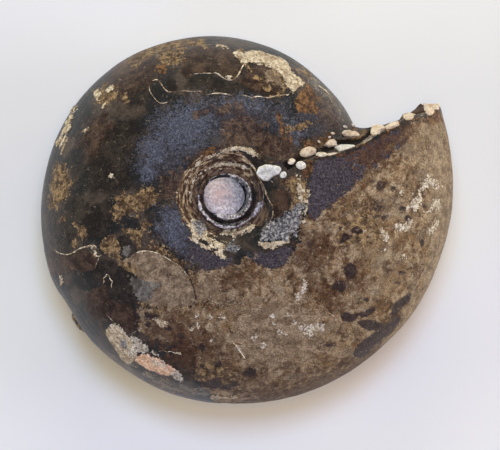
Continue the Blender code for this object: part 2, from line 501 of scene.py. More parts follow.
class Layer(Enum):
    """The finishes that lie on the fossil, in the order in which they cover each other. Four of them are
    painted light or shade: the sheen, the highlight, the rim highlight in the slate and the crevice shade.
    """

    BLACK = "black"
    BROWN = "brown"
    # painted sheen: a bluish-grey tint standing for the soft reflection of a cool light on the dark glossy
    # shell
    PAINTED_SHEEN = "sheen"
    # painted highlight: a brighter blue grey where the cool light's reflection and its glints would show
    PAINTED_HIGHLIGHT = "haze"
    UMBER = "umber"
    VIOLET = "violet"
    MOULD = "mould"
    STAIN = "stain"
    FILM = "film"
    OCHRE = "ochre"
    # grey patches of stone, and a painted highlight along the upper right rim
    SLATE_AND_RIM_HIGHLIGHT = "slate"
    RUST = "rust"
    STREAK = "streak"
    TROUGH = "trough"
    BLOT = "blot"
    CRUST = "crust"
    ASH = "ash"
    PEACH = "peach"
    FLECK = "fleck"
    # painted shade: near-black in the crevice along the break and in the gap round the plug
    PAINTED_CREVICE_SHADE = "crevice"
    WHITE = "white_calcite"


@dataclass(frozen=True)
class Cover:
    """Where one finish lies.

    The two biases say how much of it there is on the hidden underside and on
    the broken face: 0 is about half, and -1 is almost none.
    """

    layer: Layer
    thickness: float = 0.0
    under_bias: float = -1.5
    wall_bias: float = -1.5
    under_size: float = 9.0 * MM
    marks: tuple[Mark, ...] = ()


COVERS = (
    Cover(Layer.BLACK, 0.02 * MM, under_bias=-0.2, wall_bias=-0.4, marks=(
        Area(1, 3, ((99, 258), (112, 260), (130, 272), (138, 288), (140, 299), (138, 308), (134, 310),
            (128, 304), (108, 299), (104, 291), (99, 284), (91, 275), (78, 273), (95, 269))),
        Area(3, 4, ((62, 206), (74, 198), (90, 205), (108, 200), (113, 215), (108, 232), (98, 240),
            (88, 238), (74, 240), (72, 252), (60, 252), (50, 246), (46, 225), (50, 210))),
        Area(8, 5, ((95, 140), (112, 122), (138, 118), (140, 140), (130, 165), (128, 190), (112, 196),
            (92, 190), (84, 170))),
        Area(2, 2, ((188, 78), (202, 75), (216, 76), (226, 82), (240, 82), (246, 92), (226, 92),
            (186, 88))),
        Spot(1, 2, 122, 243, 7, 9, -30), Spot(2, 2, 172, 85, 6, 6),
        Area(5, 5, ((122, 80), (140, 78), (150, 88), (148, 104), (132, 108), (122, 100))),
        Area(1.2, 2.4, ((250, 157), (258, 156), (276, 163), (262, 167), (256, 171), (252, 164))),
    )),
    Cover(Layer.BROWN, 0.06 * MM, under_bias=-0.5, wall_bias=0.3, marks=(
        Area(1.2, 1.5, ((183, 56), (191, 48), (202, 46), (216, 47), (228, 51), (233, 55), (234, 60),
            (241, 58), (243, 63), (239, 72), (235, 78), (228, 79), (223, 76), (218, 72), (194, 72),
            (186, 77), (181, 72), (180, 63))),
        Area(1, 1, ((44, 249), (54, 251), (62, 256), (71, 255), (82, 249), (91, 253), (98, 257), (95, 269),
            (86, 271), (66, 273), (56, 276), (46, 278))),
        Area(1.5, 2, ((86, 294), (95, 288), (105, 286), (108, 299), (117, 303), (128, 305), (134, 311),
            (138, 319), (136, 326), (130, 334), (122, 332), (115, 323), (106, 319), (95, 321), (86, 310))),
        Area(3, 4, ((160, 366), (166, 350), (182, 342), (194, 344), (197, 362), (192, 382), (180, 378))),
        Area(7, 6, ((118, 62), (140, 50), (158, 56), (158, 72), (146, 84), (128, 96), (112, 100),
            (104, 84))),
        Area(6, 6, ((88, 118), (106, 110), (112, 128), (100, 152), (88, 160), (78, 146))),
        Area(5, 6, ((262, 136), (280, 138), (296, 146), (282, 156), (262, 156), (244, 150))),
        Area(2, 2, ((273, 190), (283, 188), (290, 194), (288, 210), (279, 220), (274, 220))),
        Area(4, 6, ((238, 70), (246, 64), (258, 63), (272, 68), (284, 82), (288, 92), (270, 98),
            (248, 92))),
    )),
    # painted sheen: where the dark shell would catch the cool light's soft reflection, it is tinted bluish
    # grey
    Cover(Layer.PAINTED_SHEEN, 0.0, under_bias=-0.7, under_size=14.0 * MM, marks=(
        Area(16, 8, ((160, 116), (182, 108), (230, 107), (284, 103), (292, 116), (280, 128), (262, 132),
            (240, 130), (206, 148), (192, 164), (184, 180), (160, 182), (140, 178), (134, 164),
            (152, 122))),
        Area(5, 5, ((165, 208), (184, 204), (188, 226), (196, 244), (204, 252), (214, 258), (220, 264),
            (206, 266), (186, 258), (170, 246), (160, 228))),
        Area(7, 5, ((300, 104), (316, 100), (334, 104), (342, 116), (336, 128), (300, 140), (290, 138))),
    )),
    # painted highlight: the brightest part of the reflection on the upper flank, with small painted glints
    Cover(Layer.PAINTED_HIGHLIGHT, 0.0, under_bias=-1.6, marks=(
        Area(30, 3, ((168, 112), (186, 104), (204, 103), (212, 110), (210, 128), (200, 140), (186, 148),
            (172, 150), (160, 140), (160, 122))),
        Spot(14, 4, 154, 150, 13, 11), Spot(10, 4, 147, 172, 9, 8), Spot(12, 3, 242, 104, 24, 8),
        Spot(24, 4, 291, 128, 3, 8, 30),
        Area(18, 4, ((160, 212), (176, 208), (184, 218), (186, 236), (180, 250), (170, 246), (162, 234))),
        Spot(3, 2, 187, 265, 4, 3), Spot(1.5, 2, 154, 204, 2.5, 2.5), Spot(1.5, 2, 157, 228, 2.5, 2.5),
        Spot(1.5, 2, 133, 216, 3, 2), Spot(1, 1, 297, 142.6, 4, 3), Spot(5, 3, 262, 258, 14, 4),
        Spot(5, 3, 212, 262, 16, 4),
    )),
    Cover(Layer.UMBER, 0.0, under_bias=-0.9, wall_bias=-0.2, under_size=3.5 * MM, marks=(
        Area(1.4, 3, ((192, 114), (205, 107), (212, 105), (208, 113), (196, 118))),
        Area(2.4, 6, ((214, 106), (230, 103), (245, 105), (244, 116), (232, 113), (218, 116))),
        Area(3, 9, ((222, 120), (244, 116), (264, 124), (270, 140), (252, 150), (236, 148), (222, 136))),
        Area(2.4, 6, ((262, 146), (276, 140), (292, 148), (292, 160), (272, 162), (258, 156))),
        Area(3, 6, ((160, 176), (182, 168), (194, 178), (188, 192), (164, 196))),
        Area(2, 4, ((184, 160), (212, 146), (236, 142), (256, 150), (230, 147), (206, 156), (192, 168))),
        Area(3, 7, ((384, 136), (404, 125), (411, 123), (408, 136), (398, 148), (384, 158), (376, 156),
            (386, 146))),
        Area(8, 3, ((312, 98), (328, 98), (346, 112), (350, 124), (336, 130), (318, 118))),
        Area(3, 4, ((288, 64), (322, 96), (332, 112), (322, 108), (306, 88), (292, 74))),
        Stroke(1.6, 3.4, ((107, 333), (112, 342), (118, 352), (124, 361)), 1.6),
    )),
    Cover(Layer.VIOLET, 0.0, marks=(
        Area(1.4, 2.4, ((315, 161), (345, 156), (366, 146), (385, 134), (403, 128), (406, 138), (402, 148),
            (394, 160), (376, 173), (356, 194), (334, 212), (326, 220), (314, 224), (307, 216), (309, 192),
            (312, 173))),
        Area(2.5, 4, ((192, 246), (204, 246), (214, 253), (233, 261), (236, 265), (228, 266), (210, 271),
            (203, 269), (199, 260), (187, 264), (185, 261))),
        Area(2, 4, ((256, 253), (289, 246), (293, 249), (291, 259), (287, 264), (279, 265), (272, 270),
            (265, 266), (258, 265), (255, 259))),
    )),
    Cover(Layer.MOULD, -0.12 * MM, under_bias=-0.3, wall_bias=-0.6, under_size=12.0 * MM, marks=(
        Stroke(2.5, 6, ((370, 162), (384, 150), (398, 142), (408, 132)), 2.4),
        Area(2.2, 4.5, ((411, 122), (440, 112), (470, 120), (480, 220), (460, 300), (400, 390), (300, 425),
            (230, 420), (214, 398), (196, 378), (196, 362), (198, 350), (190, 342), (178, 338), (168, 345),
            (152, 340), (140, 330), (139, 318), (140, 309), (165, 306), (180, 308), (190, 306), (196, 299),
            (193, 285), (196, 272), (205, 272), (236, 265), (245, 260), (255, 259), (258, 265), (272, 270),
            (287, 264), (292, 257), (300, 238), (303, 225), (307, 216), (314, 222), (321, 217), (324, 210),
            (331, 208), (335, 199), (343, 198), (347, 190), (355, 188), (357, 180), (366, 177), (367, 169),
            (377, 167), (380, 159), (390, 159), (393, 151), (402, 149), (402, 142), (409, 139),
            (408, 131))),
    )),
    Cover(Layer.STAIN, 0.0, under_bias=-0.5, under_size=6.0 * MM, marks=(
        Stroke(3, 8, ((326, 217), (344, 203), (380, 171), (398, 157)), 4),
        Area(4, 10, ((344, 155), (360, 149), (376, 140), (392, 133), (410, 122), (410, 138), (398, 152),
            (368, 168), (352, 164))),
        Area(5, 8, ((300, 283), (318, 280), (338, 288), (346, 298), (340, 308), (322, 306), (306, 298))),
        Area(5, 7, ((302, 236), (322, 228), (330, 240), (324, 262), (312, 280), (298, 270), (296, 252))),
        Area(5, 8, ((146, 316), (176, 312), (200, 322), (210, 340), (222, 356), (262, 374), (250, 388),
            (196, 372), (176, 352), (150, 340))),
        Area(4, 6, ((346, 262), (358, 258), (362, 276), (356, 290), (342, 296), (330, 290))),
        Area(5, 6, ((214, 276), (240, 270), (262, 276), (254, 286), (232, 290), (216, 300))),
        Area(5, 5, ((252, 388), (300, 384), (350, 362), (382, 340), (388, 350), (350, 384), (300, 402),
            (250, 404))),
    )),
    Cover(Layer.FILM, 0.0, under_bias=-0.7, marks=(
        Area(1.2, 1.6, ((123, 260), (133, 256), (138, 250), (160, 254), (171, 260), (182, 268), (189, 278),
            (194, 288), (196, 299), (190, 306), (180, 308), (165, 306), (152, 308), (146, 304), (140, 309),
            (143, 300), (152, 295), (150, 286), (140, 280), (133, 273))),
        Area(3, 4, ((266, 68), (276, 70), (284, 79), (284, 86), (272, 84), (264, 76))),
        Area(4, 4, ((196, 272), (212, 274), (222, 285), (216, 300), (196, 302))),
        Area(16, 10, ((232, 308), (270, 296), (310, 306), (330, 330), (310, 356), (270, 362), (240, 346))),
        Area(8, 6, ((424, 130), (444, 140), (456, 200), (448, 260), (428, 310), (410, 340), (404, 330),
            (420, 290), (430, 240), (428, 190), (420, 160))),
        Stroke(6, 10, ((112, 359), (134, 372), (152, 380), (170, 387), (192, 392)), 4),
    )),
    Cover(Layer.OCHRE, 0.0, under_bias=-0.8, wall_bias=-0.5, under_size=5.0 * MM, marks=(
        Area(2.5, 4.5, ((54, 166), (62, 163), (71, 182), (68, 194), (62, 202), (56, 207), (50, 208),
            (49, 200))),
        Spot(1.5, 3, 61.5, 220, 4.5, 3),
        Area(1.6, 3, ((76, 225), (80, 227), (87, 226), (88, 236), (85, 240), (80, 234))),
        Spot(1.2, 2, 75, 244, 2.2, 5),
        Area(1.4, 2.6, ((100, 241), (108, 234), (116, 236), (120, 245), (120, 254), (122, 262), (130, 262),
            (137, 266), (137, 274), (130, 272), (120, 265), (112, 256), (106, 254), (99, 249))),
        Area(2, 5, ((123, 232), (130, 228), (138, 228), (149, 222), (150, 228), (145, 235), (140, 246),
            (134, 240))),
        Area(2.4, 6.5, ((115, 196), (123, 193), (133, 194), (144, 191), (155, 186), (160, 193), (162, 206),
            (155, 203), (144, 208), (134, 215), (125, 217), (119, 220), (112, 212), (117, 202))),
        Stroke(2, 5, ((276, 70), (283, 78), (287, 88), (284, 94), (272, 96)), 3),
        Stroke(2.5, 5, ((150, 248), (164, 251), (187, 268), (194, 280)), 5),
        Stroke(2, 7, ((246, 66), (270, 92)), 3), Stroke(2.5, 4, ((300, 70), (312, 78), (334, 102)), 3),
        Area(1.5, 2, ((234, 50), (242, 49), (246, 56), (240, 62), (235, 58))),
        Area(2, 4.5, ((278, 180), (286, 176), (296, 174), (305, 180), (307, 190), (299, 226), (290, 238),
            (284, 238), (292, 216), (292, 204), (290, 191), (280, 187))),
        Area(2.5, 5, ((156, 58), (160, 51), (184, 46), (182, 56), (173, 69), (169, 63), (160, 62))),
        Area(1.8, 4, ((306, 121), (312, 122), (306, 128), (296, 130), (288, 136), (284, 130))),
        Area(3.5, 5, ((150, 42), (184, 38), (206, 39), (206, 45), (184, 46), (150, 55), (132, 66),
            (126, 64))),
        Area(2.5, 6, ((96, 92), (108, 87), (117, 86), (120, 93), (114, 101), (104, 106), (98, 103))),
        Spot(1.5, 2, 125.5, 99, 3, 5),
        Area(3, 6, ((142, 304), (160, 310), (166, 318), (156, 322), (146, 316))),
        Area(3, 6, ((196, 366), (214, 360), (244, 380), (238, 390), (214, 384), (198, 378))),
        Area(9, 8, ((355, 208), (376, 214), (380, 232), (366, 244), (348, 236), (346, 218))),
    )),
    Cover(Layer.SLATE_AND_RIM_HIGHLIGHT, 0.0, under_bias=-1.1, under_size=4.0 * MM, marks=(
        Stroke(4, 8, ((116, 361), (134, 371), (152, 379), (170, 386), (190, 391), (206, 394)), 4),
        Area(1.4, 2.6, ((131, 276), (154, 284), (162, 285), (161, 288), (154, 288), (152, 297), (146, 302),
            (139, 301), (134, 293), (131, 284))),
        Spot(1.4, 2, 125.4, 251.6, 4.6, 5.6),
        # painted highlight: a lighter grey band along the upper right rim, where a side light would shine
        Stroke(6, 2, ((314, 82), (328, 94), (338, 106), (346, 118), (356, 124), (366, 126)), 5),
    )),
    Cover(Layer.RUST, 0.0, under_bias=-0.8, wall_bias=-0.3, under_size=4.0 * MM, marks=(
        Area(1.2, 1.6, ((295, 102), (301, 91), (308, 86), (319, 107), (316, 113), (308, 112), (298, 112))),
        Stroke(1.6, 2.4, ((306, 86), (313, 92), (318, 100)), 2.4),
        Stroke(1.2, 2.2, ((278, 112), (282, 125), (282, 133), (286, 140)), 2.8),
        Stroke(1.2, 2.4, ((286, 128), (292, 136), (290, 144)), 2),
        Stroke(1.4, 2.4, ((384, 130), (414, 118), (424, 112)), 3),
        Area(1.8, 3, ((202, 158), (207, 150), (214, 147), (218, 151), (212, 158))),
        Spot(1.8, 3, 162, 69, 4.5, 3.4),
        Area(0.8, 1, ((356, 146), (366, 139), (372, 135.5), (373, 138), (362, 146))),
        Area(1.6, 2.5, ((308, 158), (313, 160), (312, 172), (306, 178), (303, 170))),
        Area(1.6, 2.5, ((424, 110), (432, 106), (440, 108), (441, 120), (434, 124), (428, 117))),
        Area(2, 3, ((350, 344), (358, 338), (363, 342), (356, 352))),
        Area(1.6, 2.4, ((352, 123), (372, 128), (364, 132), (354, 131), (349, 128))),
        Area(2, 4, ((304, 140), (320, 138), (330, 134), (330, 140), (318, 147), (306, 148))),
    )),
    Cover(Layer.STREAK, 0.0, marks=(
        Ring(2.5, 3, 225, 197, 39, 17, 100, 260), Ring(2, 2, 226, 197, 32, 11, 20, 160),
        Ring(2, 2, 226, 197, 41, 9, 50, 112),
    )),
    Cover(Layer.TROUGH, -0.25 * MM, marks=(
        Ring(1.8, 1.6, 227, 197.5, 33, 7, 150, 400), Ring(1.8, 1.2, 226, 197.5, 26.5, 5, 20, 200),
        Area(1.5, 1.5, ((262, 200), (268, 208), (268, 218), (262, 226), (252, 226), (246, 222), (254, 214),
            (260, 206))),
    )),
    Cover(Layer.BLOT, -0.06 * MM, under_bias=-0.9, under_size=2.4 * MM, marks=(
        Stroke(0.9, 1.4, ((201.4, 196), (202.4, 205), (206.2, 212), (212.4, 218), (220, 221.8),
            (229, 222.6), (238, 220.8), (245.6, 216.2), (251.4, 209.4), (254, 202)), 2.6),
        Area(0.6, 0.7, ((351, 231.4), (353, 227.2), (357, 226), (361, 228.2), (363.5, 232), (358, 234.8),
            (353, 233.6))),
        Area(0.8, 1.2, ((338, 245), (341, 238), (345, 232.5), (348, 235), (353, 236), (348, 240),
            (343, 243))),
        Stroke(0.8, 2, ((341, 247), (345, 245.4), (348, 246)), 1.8), Spot(0.8, 1, 422.3, 243, 2.4, 4),
        Area(0.8, 2, ((347, 265), (351, 262.5), (356, 265), (356.5, 275), (353, 281), (347, 279),
            (343.5, 272))),
        Area(0.8, 2, ((332, 284), (337, 280), (345, 281), (346, 288), (341, 293), (332, 289))),
        Area(0.8, 1.4, ((340, 315), (345, 312), (351, 314), (359, 315), (357, 321), (350, 323),
            (343, 321))),
        Area(0.8, 1.4, ((359, 314), (367, 310), (375, 307.4), (376, 311), (370, 317), (362, 319))),
        Area(0.8, 1.8, ((357, 322), (365, 320), (376, 321), (382, 326), (378, 332), (366, 331))),
        Area(0.8, 1.6, ((353, 355), (357, 346), (366, 338), (376, 331), (388, 324), (397, 317), (402, 319),
            (394, 331), (375, 346), (370, 352), (364, 358), (356, 358))),
        Area(0.9, 1.2, ((390, 316), (395, 304), (401, 299), (408, 294), (412, 293), (410, 301), (402, 308),
            (397, 316))),
        Spot(0.8, 1, 328.5, 345.8, 3, 1.6, 10), Spot(0.8, 1.6, 201.3, 348.6, 3, 4.8),
        Area(0.8, 1.4, ((213, 369), (216, 364), (221, 361), (222, 364), (218, 368))),
        Spot(0.8, 1.4, 202, 366.5, 3, 2.6),
        Area(0.8, 2.4, ((243, 374), (246, 369), (252, 368), (258, 370), (257, 376), (250, 378))),
        Area(1.6, 3, ((197, 380), (208, 382), (216, 377), (222, 382), (232, 384), (238, 378), (240, 386),
            (228, 391), (204, 388))),
        Spot(1.8, 2, 394, 188.5, 3.2, 2.8), Spot(1.2, 2, 402.7, 208.5, 3, 2.2),
        Spot(1, 2, 409.7, 218.3, 3.4, 1.8), Spot(4.5, 2, 380, 186, 5, 4), Spot(4.5, 2, 377, 208, 4.5, 4),
        Spot(3.5, 2, 382, 217, 4.5, 3.2), Spot(1, 2, 340.5, 227.5, 2.6, 1.6), Spot(2, 2, 426.5, 206, 3, 2),
        Spot(1, 2, 401.6, 272.8, 2.6, 1.6), Spot(1, 2, 398.7, 282.6, 2.4, 1.4),
        Spot(3, 4, 312, 246, 3, 7, -12), Spot(1.4, 2, 181, 343, 3.6, 2),
        Stroke(0.6, 0.4, ((167.2, 273.4), (167.9, 277.4)), 1.8), Spot(0.6, 0.4, 170.5, 274.6, 1.1, 0.9),
        Spot(0.8, 0.8, 160.5, 286.3, 3, 1.1, -12),
        Stroke(0.9, 0.8, ((182, 267), (189, 277), (194, 288), (196, 299)), 0.9),
        Spot(1, 1, 367, 300, 2.5, 1.6), Spot(1, 3, 150, 316.5, 8, 2.4, -8), Spot(1, 3, 147, 324, 4, 2.4),
        Spot(1, 2, 168, 329, 3.4, 1.8), Spot(1, 2, 181, 337, 4, 1.8, -20), Spot(0.8, 1, 356, 284, 1.8, 1.4),
        Spot(0.8, 1, 367, 284, 1.8, 1.2),
    )),
    Cover(Layer.CRUST, 0.16 * MM, under_bias=-1.0, wall_bias=-0.9, under_size=4.0 * MM, marks=(
        Area(0.9, 1.6, ((234, 54), (238, 50), (243, 54), (250, 50), (272, 55), (282, 59), (288, 64),
            (291, 72), (305, 84), (298, 90), (292, 93), (287, 86), (283, 79), (276, 71), (268, 67),
            (250, 63), (244, 65), (240, 60))),
        Area(0.9, 1.6, ((108, 328), (114, 323), (121, 325), (128, 335), (134, 340), (138, 348), (138, 357),
            (130, 364), (123, 360), (106, 333))),
        Stroke(1.4, 2.6, ((76, 108), (58, 144)), 2.6), Stroke(1.2, 2.4, ((70, 126), (60, 148)), 2),
        Stroke(1, 2, ((66, 140), (61, 154)), 1.4), Stroke(0.9, 2, ((77, 134), (84, 131), (88, 128)), 1.2),
        Area(1.2, 2, ((95, 92), (99, 89), (101, 93), (99, 101), (96, 101))),
        Stroke(1.2, 2.6, ((107, 92), (112, 88)), 1), Stroke(1.2, 2.6, ((111, 97), (115, 93)), 1),
        Stroke(1, 1.6, ((103, 107), (106, 102)), 1.6),
        Area(0.8, 0.8, ((59, 276), (62, 275), (64, 282), (61, 286))),
        Area(0.9, 1.4, ((90, 246), (94, 245), (98, 256), (96, 257))),
        Area(1.8, 5.5, ((188, 225), (193, 218), (199, 220), (204, 226), (206, 235), (213, 240), (220, 242),
            (224, 245), (223, 252), (215, 250), (190, 231))),
        Area(1.2, 4, ((219, 233), (225, 230), (241, 229), (250, 225), (256, 225), (255, 229), (249, 233),
            (235, 237), (228, 235), (223, 236))),
        Area(1, 2.4, ((257, 241), (259, 245), (264, 249), (273, 248), (282, 246), (290, 242), (289, 238),
            (273, 242))),
        Stroke(1.4, 3.4, ((190, 237), (200, 244), (226, 258)), 2.2),
        Stroke(1.6, 4, ((307, 178), (308.4, 196), (303, 221)), 2),
        Stroke(1, 2, ((185.2, 200), (186.5, 184), (190.5, 171), (201, 161.4), (219, 153.4)), 1),
        Stroke(1.2, 2, ((222, 152), (229, 149.4), (240, 148.6), (250, 150.6), (256, 155)), 4.4),
        Stroke(1.2, 2.4, ((190, 203), (190.6, 192), (193.2, 182), (197, 176), (203, 171.6), (212, 167),
            (222, 164.4), (232, 164), (242, 166), (249, 170)), 1.4),
        Stroke(2, 6, ((298, 178), (301, 190), (300, 206), (296, 222)), 2),
        Spot(1.4, 3, 160, 323, 5, 2.4, -10), Stroke(1.4, 3, ((190, 330), (196, 326), (200, 328)), 2),
        Stroke(1, 1, ((211.6, 398), (235.7, 398)), 2.4), Stroke(0.8, 0.8, ((176, 352), (181, 353)), 1.6),
        Spot(1, 1, 111, 176, 2.2, 2), Spot(0.8, 0.6, 111.5, 120, 1.4, 1.2),
        Spot(0.8, 0.8, 229, 76.5, 2.4, 1.2), Stroke(0.9, 1.2, ((217, 45.5), (223, 46.4), (228, 48.2)), 1.6),
    )),
    Cover(Layer.ASH, 0.08 * MM, under_bias=-1.3, under_size=5.0 * MM, marks=(
        Stroke(0.7, 1, ((231.6, 176.4), (238.4, 178.8), (244, 184.4), (247.6, 191.4), (247.8, 199),
            (245.4, 206), (240.8, 211.6), (235, 215.4)), 4.2),
        Area(2.4, 6, ((260, 231), (286, 212), (295, 207), (300, 201), (304, 206), (302, 219), (297, 230),
            (291, 237), (273, 242), (262, 241), (258, 238))),
        Spot(2, 4, 232, 248, 5.5, 5),
        Stroke(0.7, 1, ((215, 223), (224, 225.4), (233, 225), (241, 221.8)), 2),
        Spot(2, 4, 200, 229, 5.5, 7), Spot(1.4, 3, 125, 343, 2, 3.4, 20),
    )),
    Cover(Layer.PEACH, 0.26 * MM, marks=(
        Area(0.9, 1.4, ((136, 357), (142, 353), (149, 354), (172, 366), (177, 371), (170, 375), (150, 369),
            (142, 365), (136, 361))),
    )),
    Cover(Layer.FLECK, 0.03 * MM, under_bias=-1.2, under_size=2.0 * MM, marks=(
        Spot(0.7, 1.6, 303.8, 288, 2.2, 6, -12), Spot(0.7, 2.2, 298.2, 298, 3.2, 4.6, 8),
        Area(2, 6, ((407, 208), (414, 196), (420, 198), (424, 202), (420, 207))),
        Stroke(2, 6, ((420, 192), (430, 181), (436, 188)), 3.4), Spot(0.9, 2, 402.7, 194, 2.4, 3.2),
        Spot(0.9, 2, 408.3, 225.5, 3.2, 5.2, -20), Spot(1.4, 4, 436.3, 204.7, 3.4, 5.5),
        Stroke(1.2, 3, ((427, 212), (434, 208), (437, 212)), 2.4), Spot(1.8, 3, 399.5, 227.5, 3.4, 4),
        Stroke(0.9, 2.2, ((382, 229), (387, 240), (389.5, 243.5)), 2.6), Spot(0.8, 2, 385, 248.7, 1.6, 2.4),
        Spot(0.6, 0.5, 364.6, 230.6, 1.3, 1.5), Spot(0.9, 1, 404.5, 256.7, 2.2, 1.8),
        Area(1, 3, ((306, 326), (312, 325), (314, 332), (312, 338), (308, 334))),
        Spot(1.2, 4, 319.5, 327.5, 3.4, 5), Stroke(1, 3, ((288, 315), (300, 328), (308, 334)), 2),
        Spot(1.4, 3, 255, 338, 2.4, 1.6, 40), Spot(1.4, 3, 263, 345, 2, 3, 20),
        Spot(1, 2, 268, 336, 1.4, 1), Spot(1.2, 2, 282, 332, 2.4, 1.2, -30), Spot(1, 2, 212, 343, 1.8, 1.2),
        Spot(0.8, 1.4, 221.8, 317.3, 2.6, 1.6, 40), Spot(0.8, 1, 272.6, 316.2, 2, 1.6),
        Spot(0.8, 1.2, 274.2, 324, 2, 1.6), Stroke(1, 2.6, ((233, 342), (238, 348), (243, 356)), 2),
        Stroke(1, 2.6, ((138, 341), (144, 345), (150, 351), (158, 354)), 2.4),
        Stroke(1.2, 3, ((430, 232), (437, 226), (438, 222)), 2.6),
        Stroke(1.4, 3.6, ((196, 316), (204, 312), (212, 318)), 1.4),
        Area(0.9, 1.4, ((168, 373), (172, 369), (178, 370), (182, 375), (182, 381), (175, 378))),
        Area(1, 3.4, ((134, 337), (140, 339), (147, 345), (151, 352), (145, 353), (139, 352), (135, 348))),
        Spot(1.4, 3, 113.5, 327, 4, 2.4, -30), Spot(1.2, 3, 133, 352, 3, 4),
        Spot(1.2, 3, 158, 362, 6, 1.6, -25),
    )),
    # painted shade: near-black in the crevice below the broken edge, on the deep part of the broken face, in
    # the gap round the plug and at the notch; the dip beneath it is real relief
    Cover(Layer.PAINTED_CREVICE_SHADE, -0.40 * MM, wall_bias=-0.8, marks=(
        Area(0.8, 0.8, ((283, 163), (296, 157), (312, 147), (322, 147), (336, 139), (343, 138), (352, 139),
            (360, 137), (368, 131), (371, 128), (371, 133), (362, 141), (355, 145), (341, 144.5),
            (334, 147.5), (316, 153), (305, 158), (296, 165), (288, 170))),
        Stroke(0.7, 0.6, ((243.4, 186), (244.8, 193), (244.4, 200), (241.8, 206.6), (237, 211.2),
            (230, 214.4), (221, 214.6)), 2),
        Stroke(0.8, 0.6, ((360, 126), (366, 128.4), (372, 128.6)), 1.6),
    )),
    Cover(Layer.WHITE, 0.30 * MM, marks=(
        Area(0.6, 0.6, ((262.6, 200.5), (263.6, 204), (260, 210), (256, 215), (252, 217.8), (251, 215.4),
            (254.6, 208.6), (258, 203.4))),
        Stroke(0.6, 0.4, ((198.8, 196), (199, 201), (200.4, 206)), 2.4),
        Stroke(0.5, 0.3, ((199.8, 207), (203, 213), (208.6, 219.6), (216, 225), (225, 227.6), (234, 227.2),
            (242, 224.2), (248.6, 219.8), (252.4, 215.4)), 1.6),
        Stroke(0.5, 0.3, ((229, 174.4), (236, 175.6), (243, 179), (248, 184.8), (250.6, 192), (250.6, 200),
            (248.4, 207.4), (243.4, 213.8), (236.4, 218), (228, 219.2), (219.4, 217.2), (211.4, 211.6),
            (205.6, 203.4)), 1.3),
        Stroke(0.6, 0.5, ((204.2, 192), (206.6, 184.4), (211.6, 178.6), (218.6, 175), (226, 173.8)), 0.9),
        Stroke(0.7, 0.7, ((214, 213.4), (221, 216.4), (229, 217.4), (236.4, 215.6)), 2.4),
    )),
)


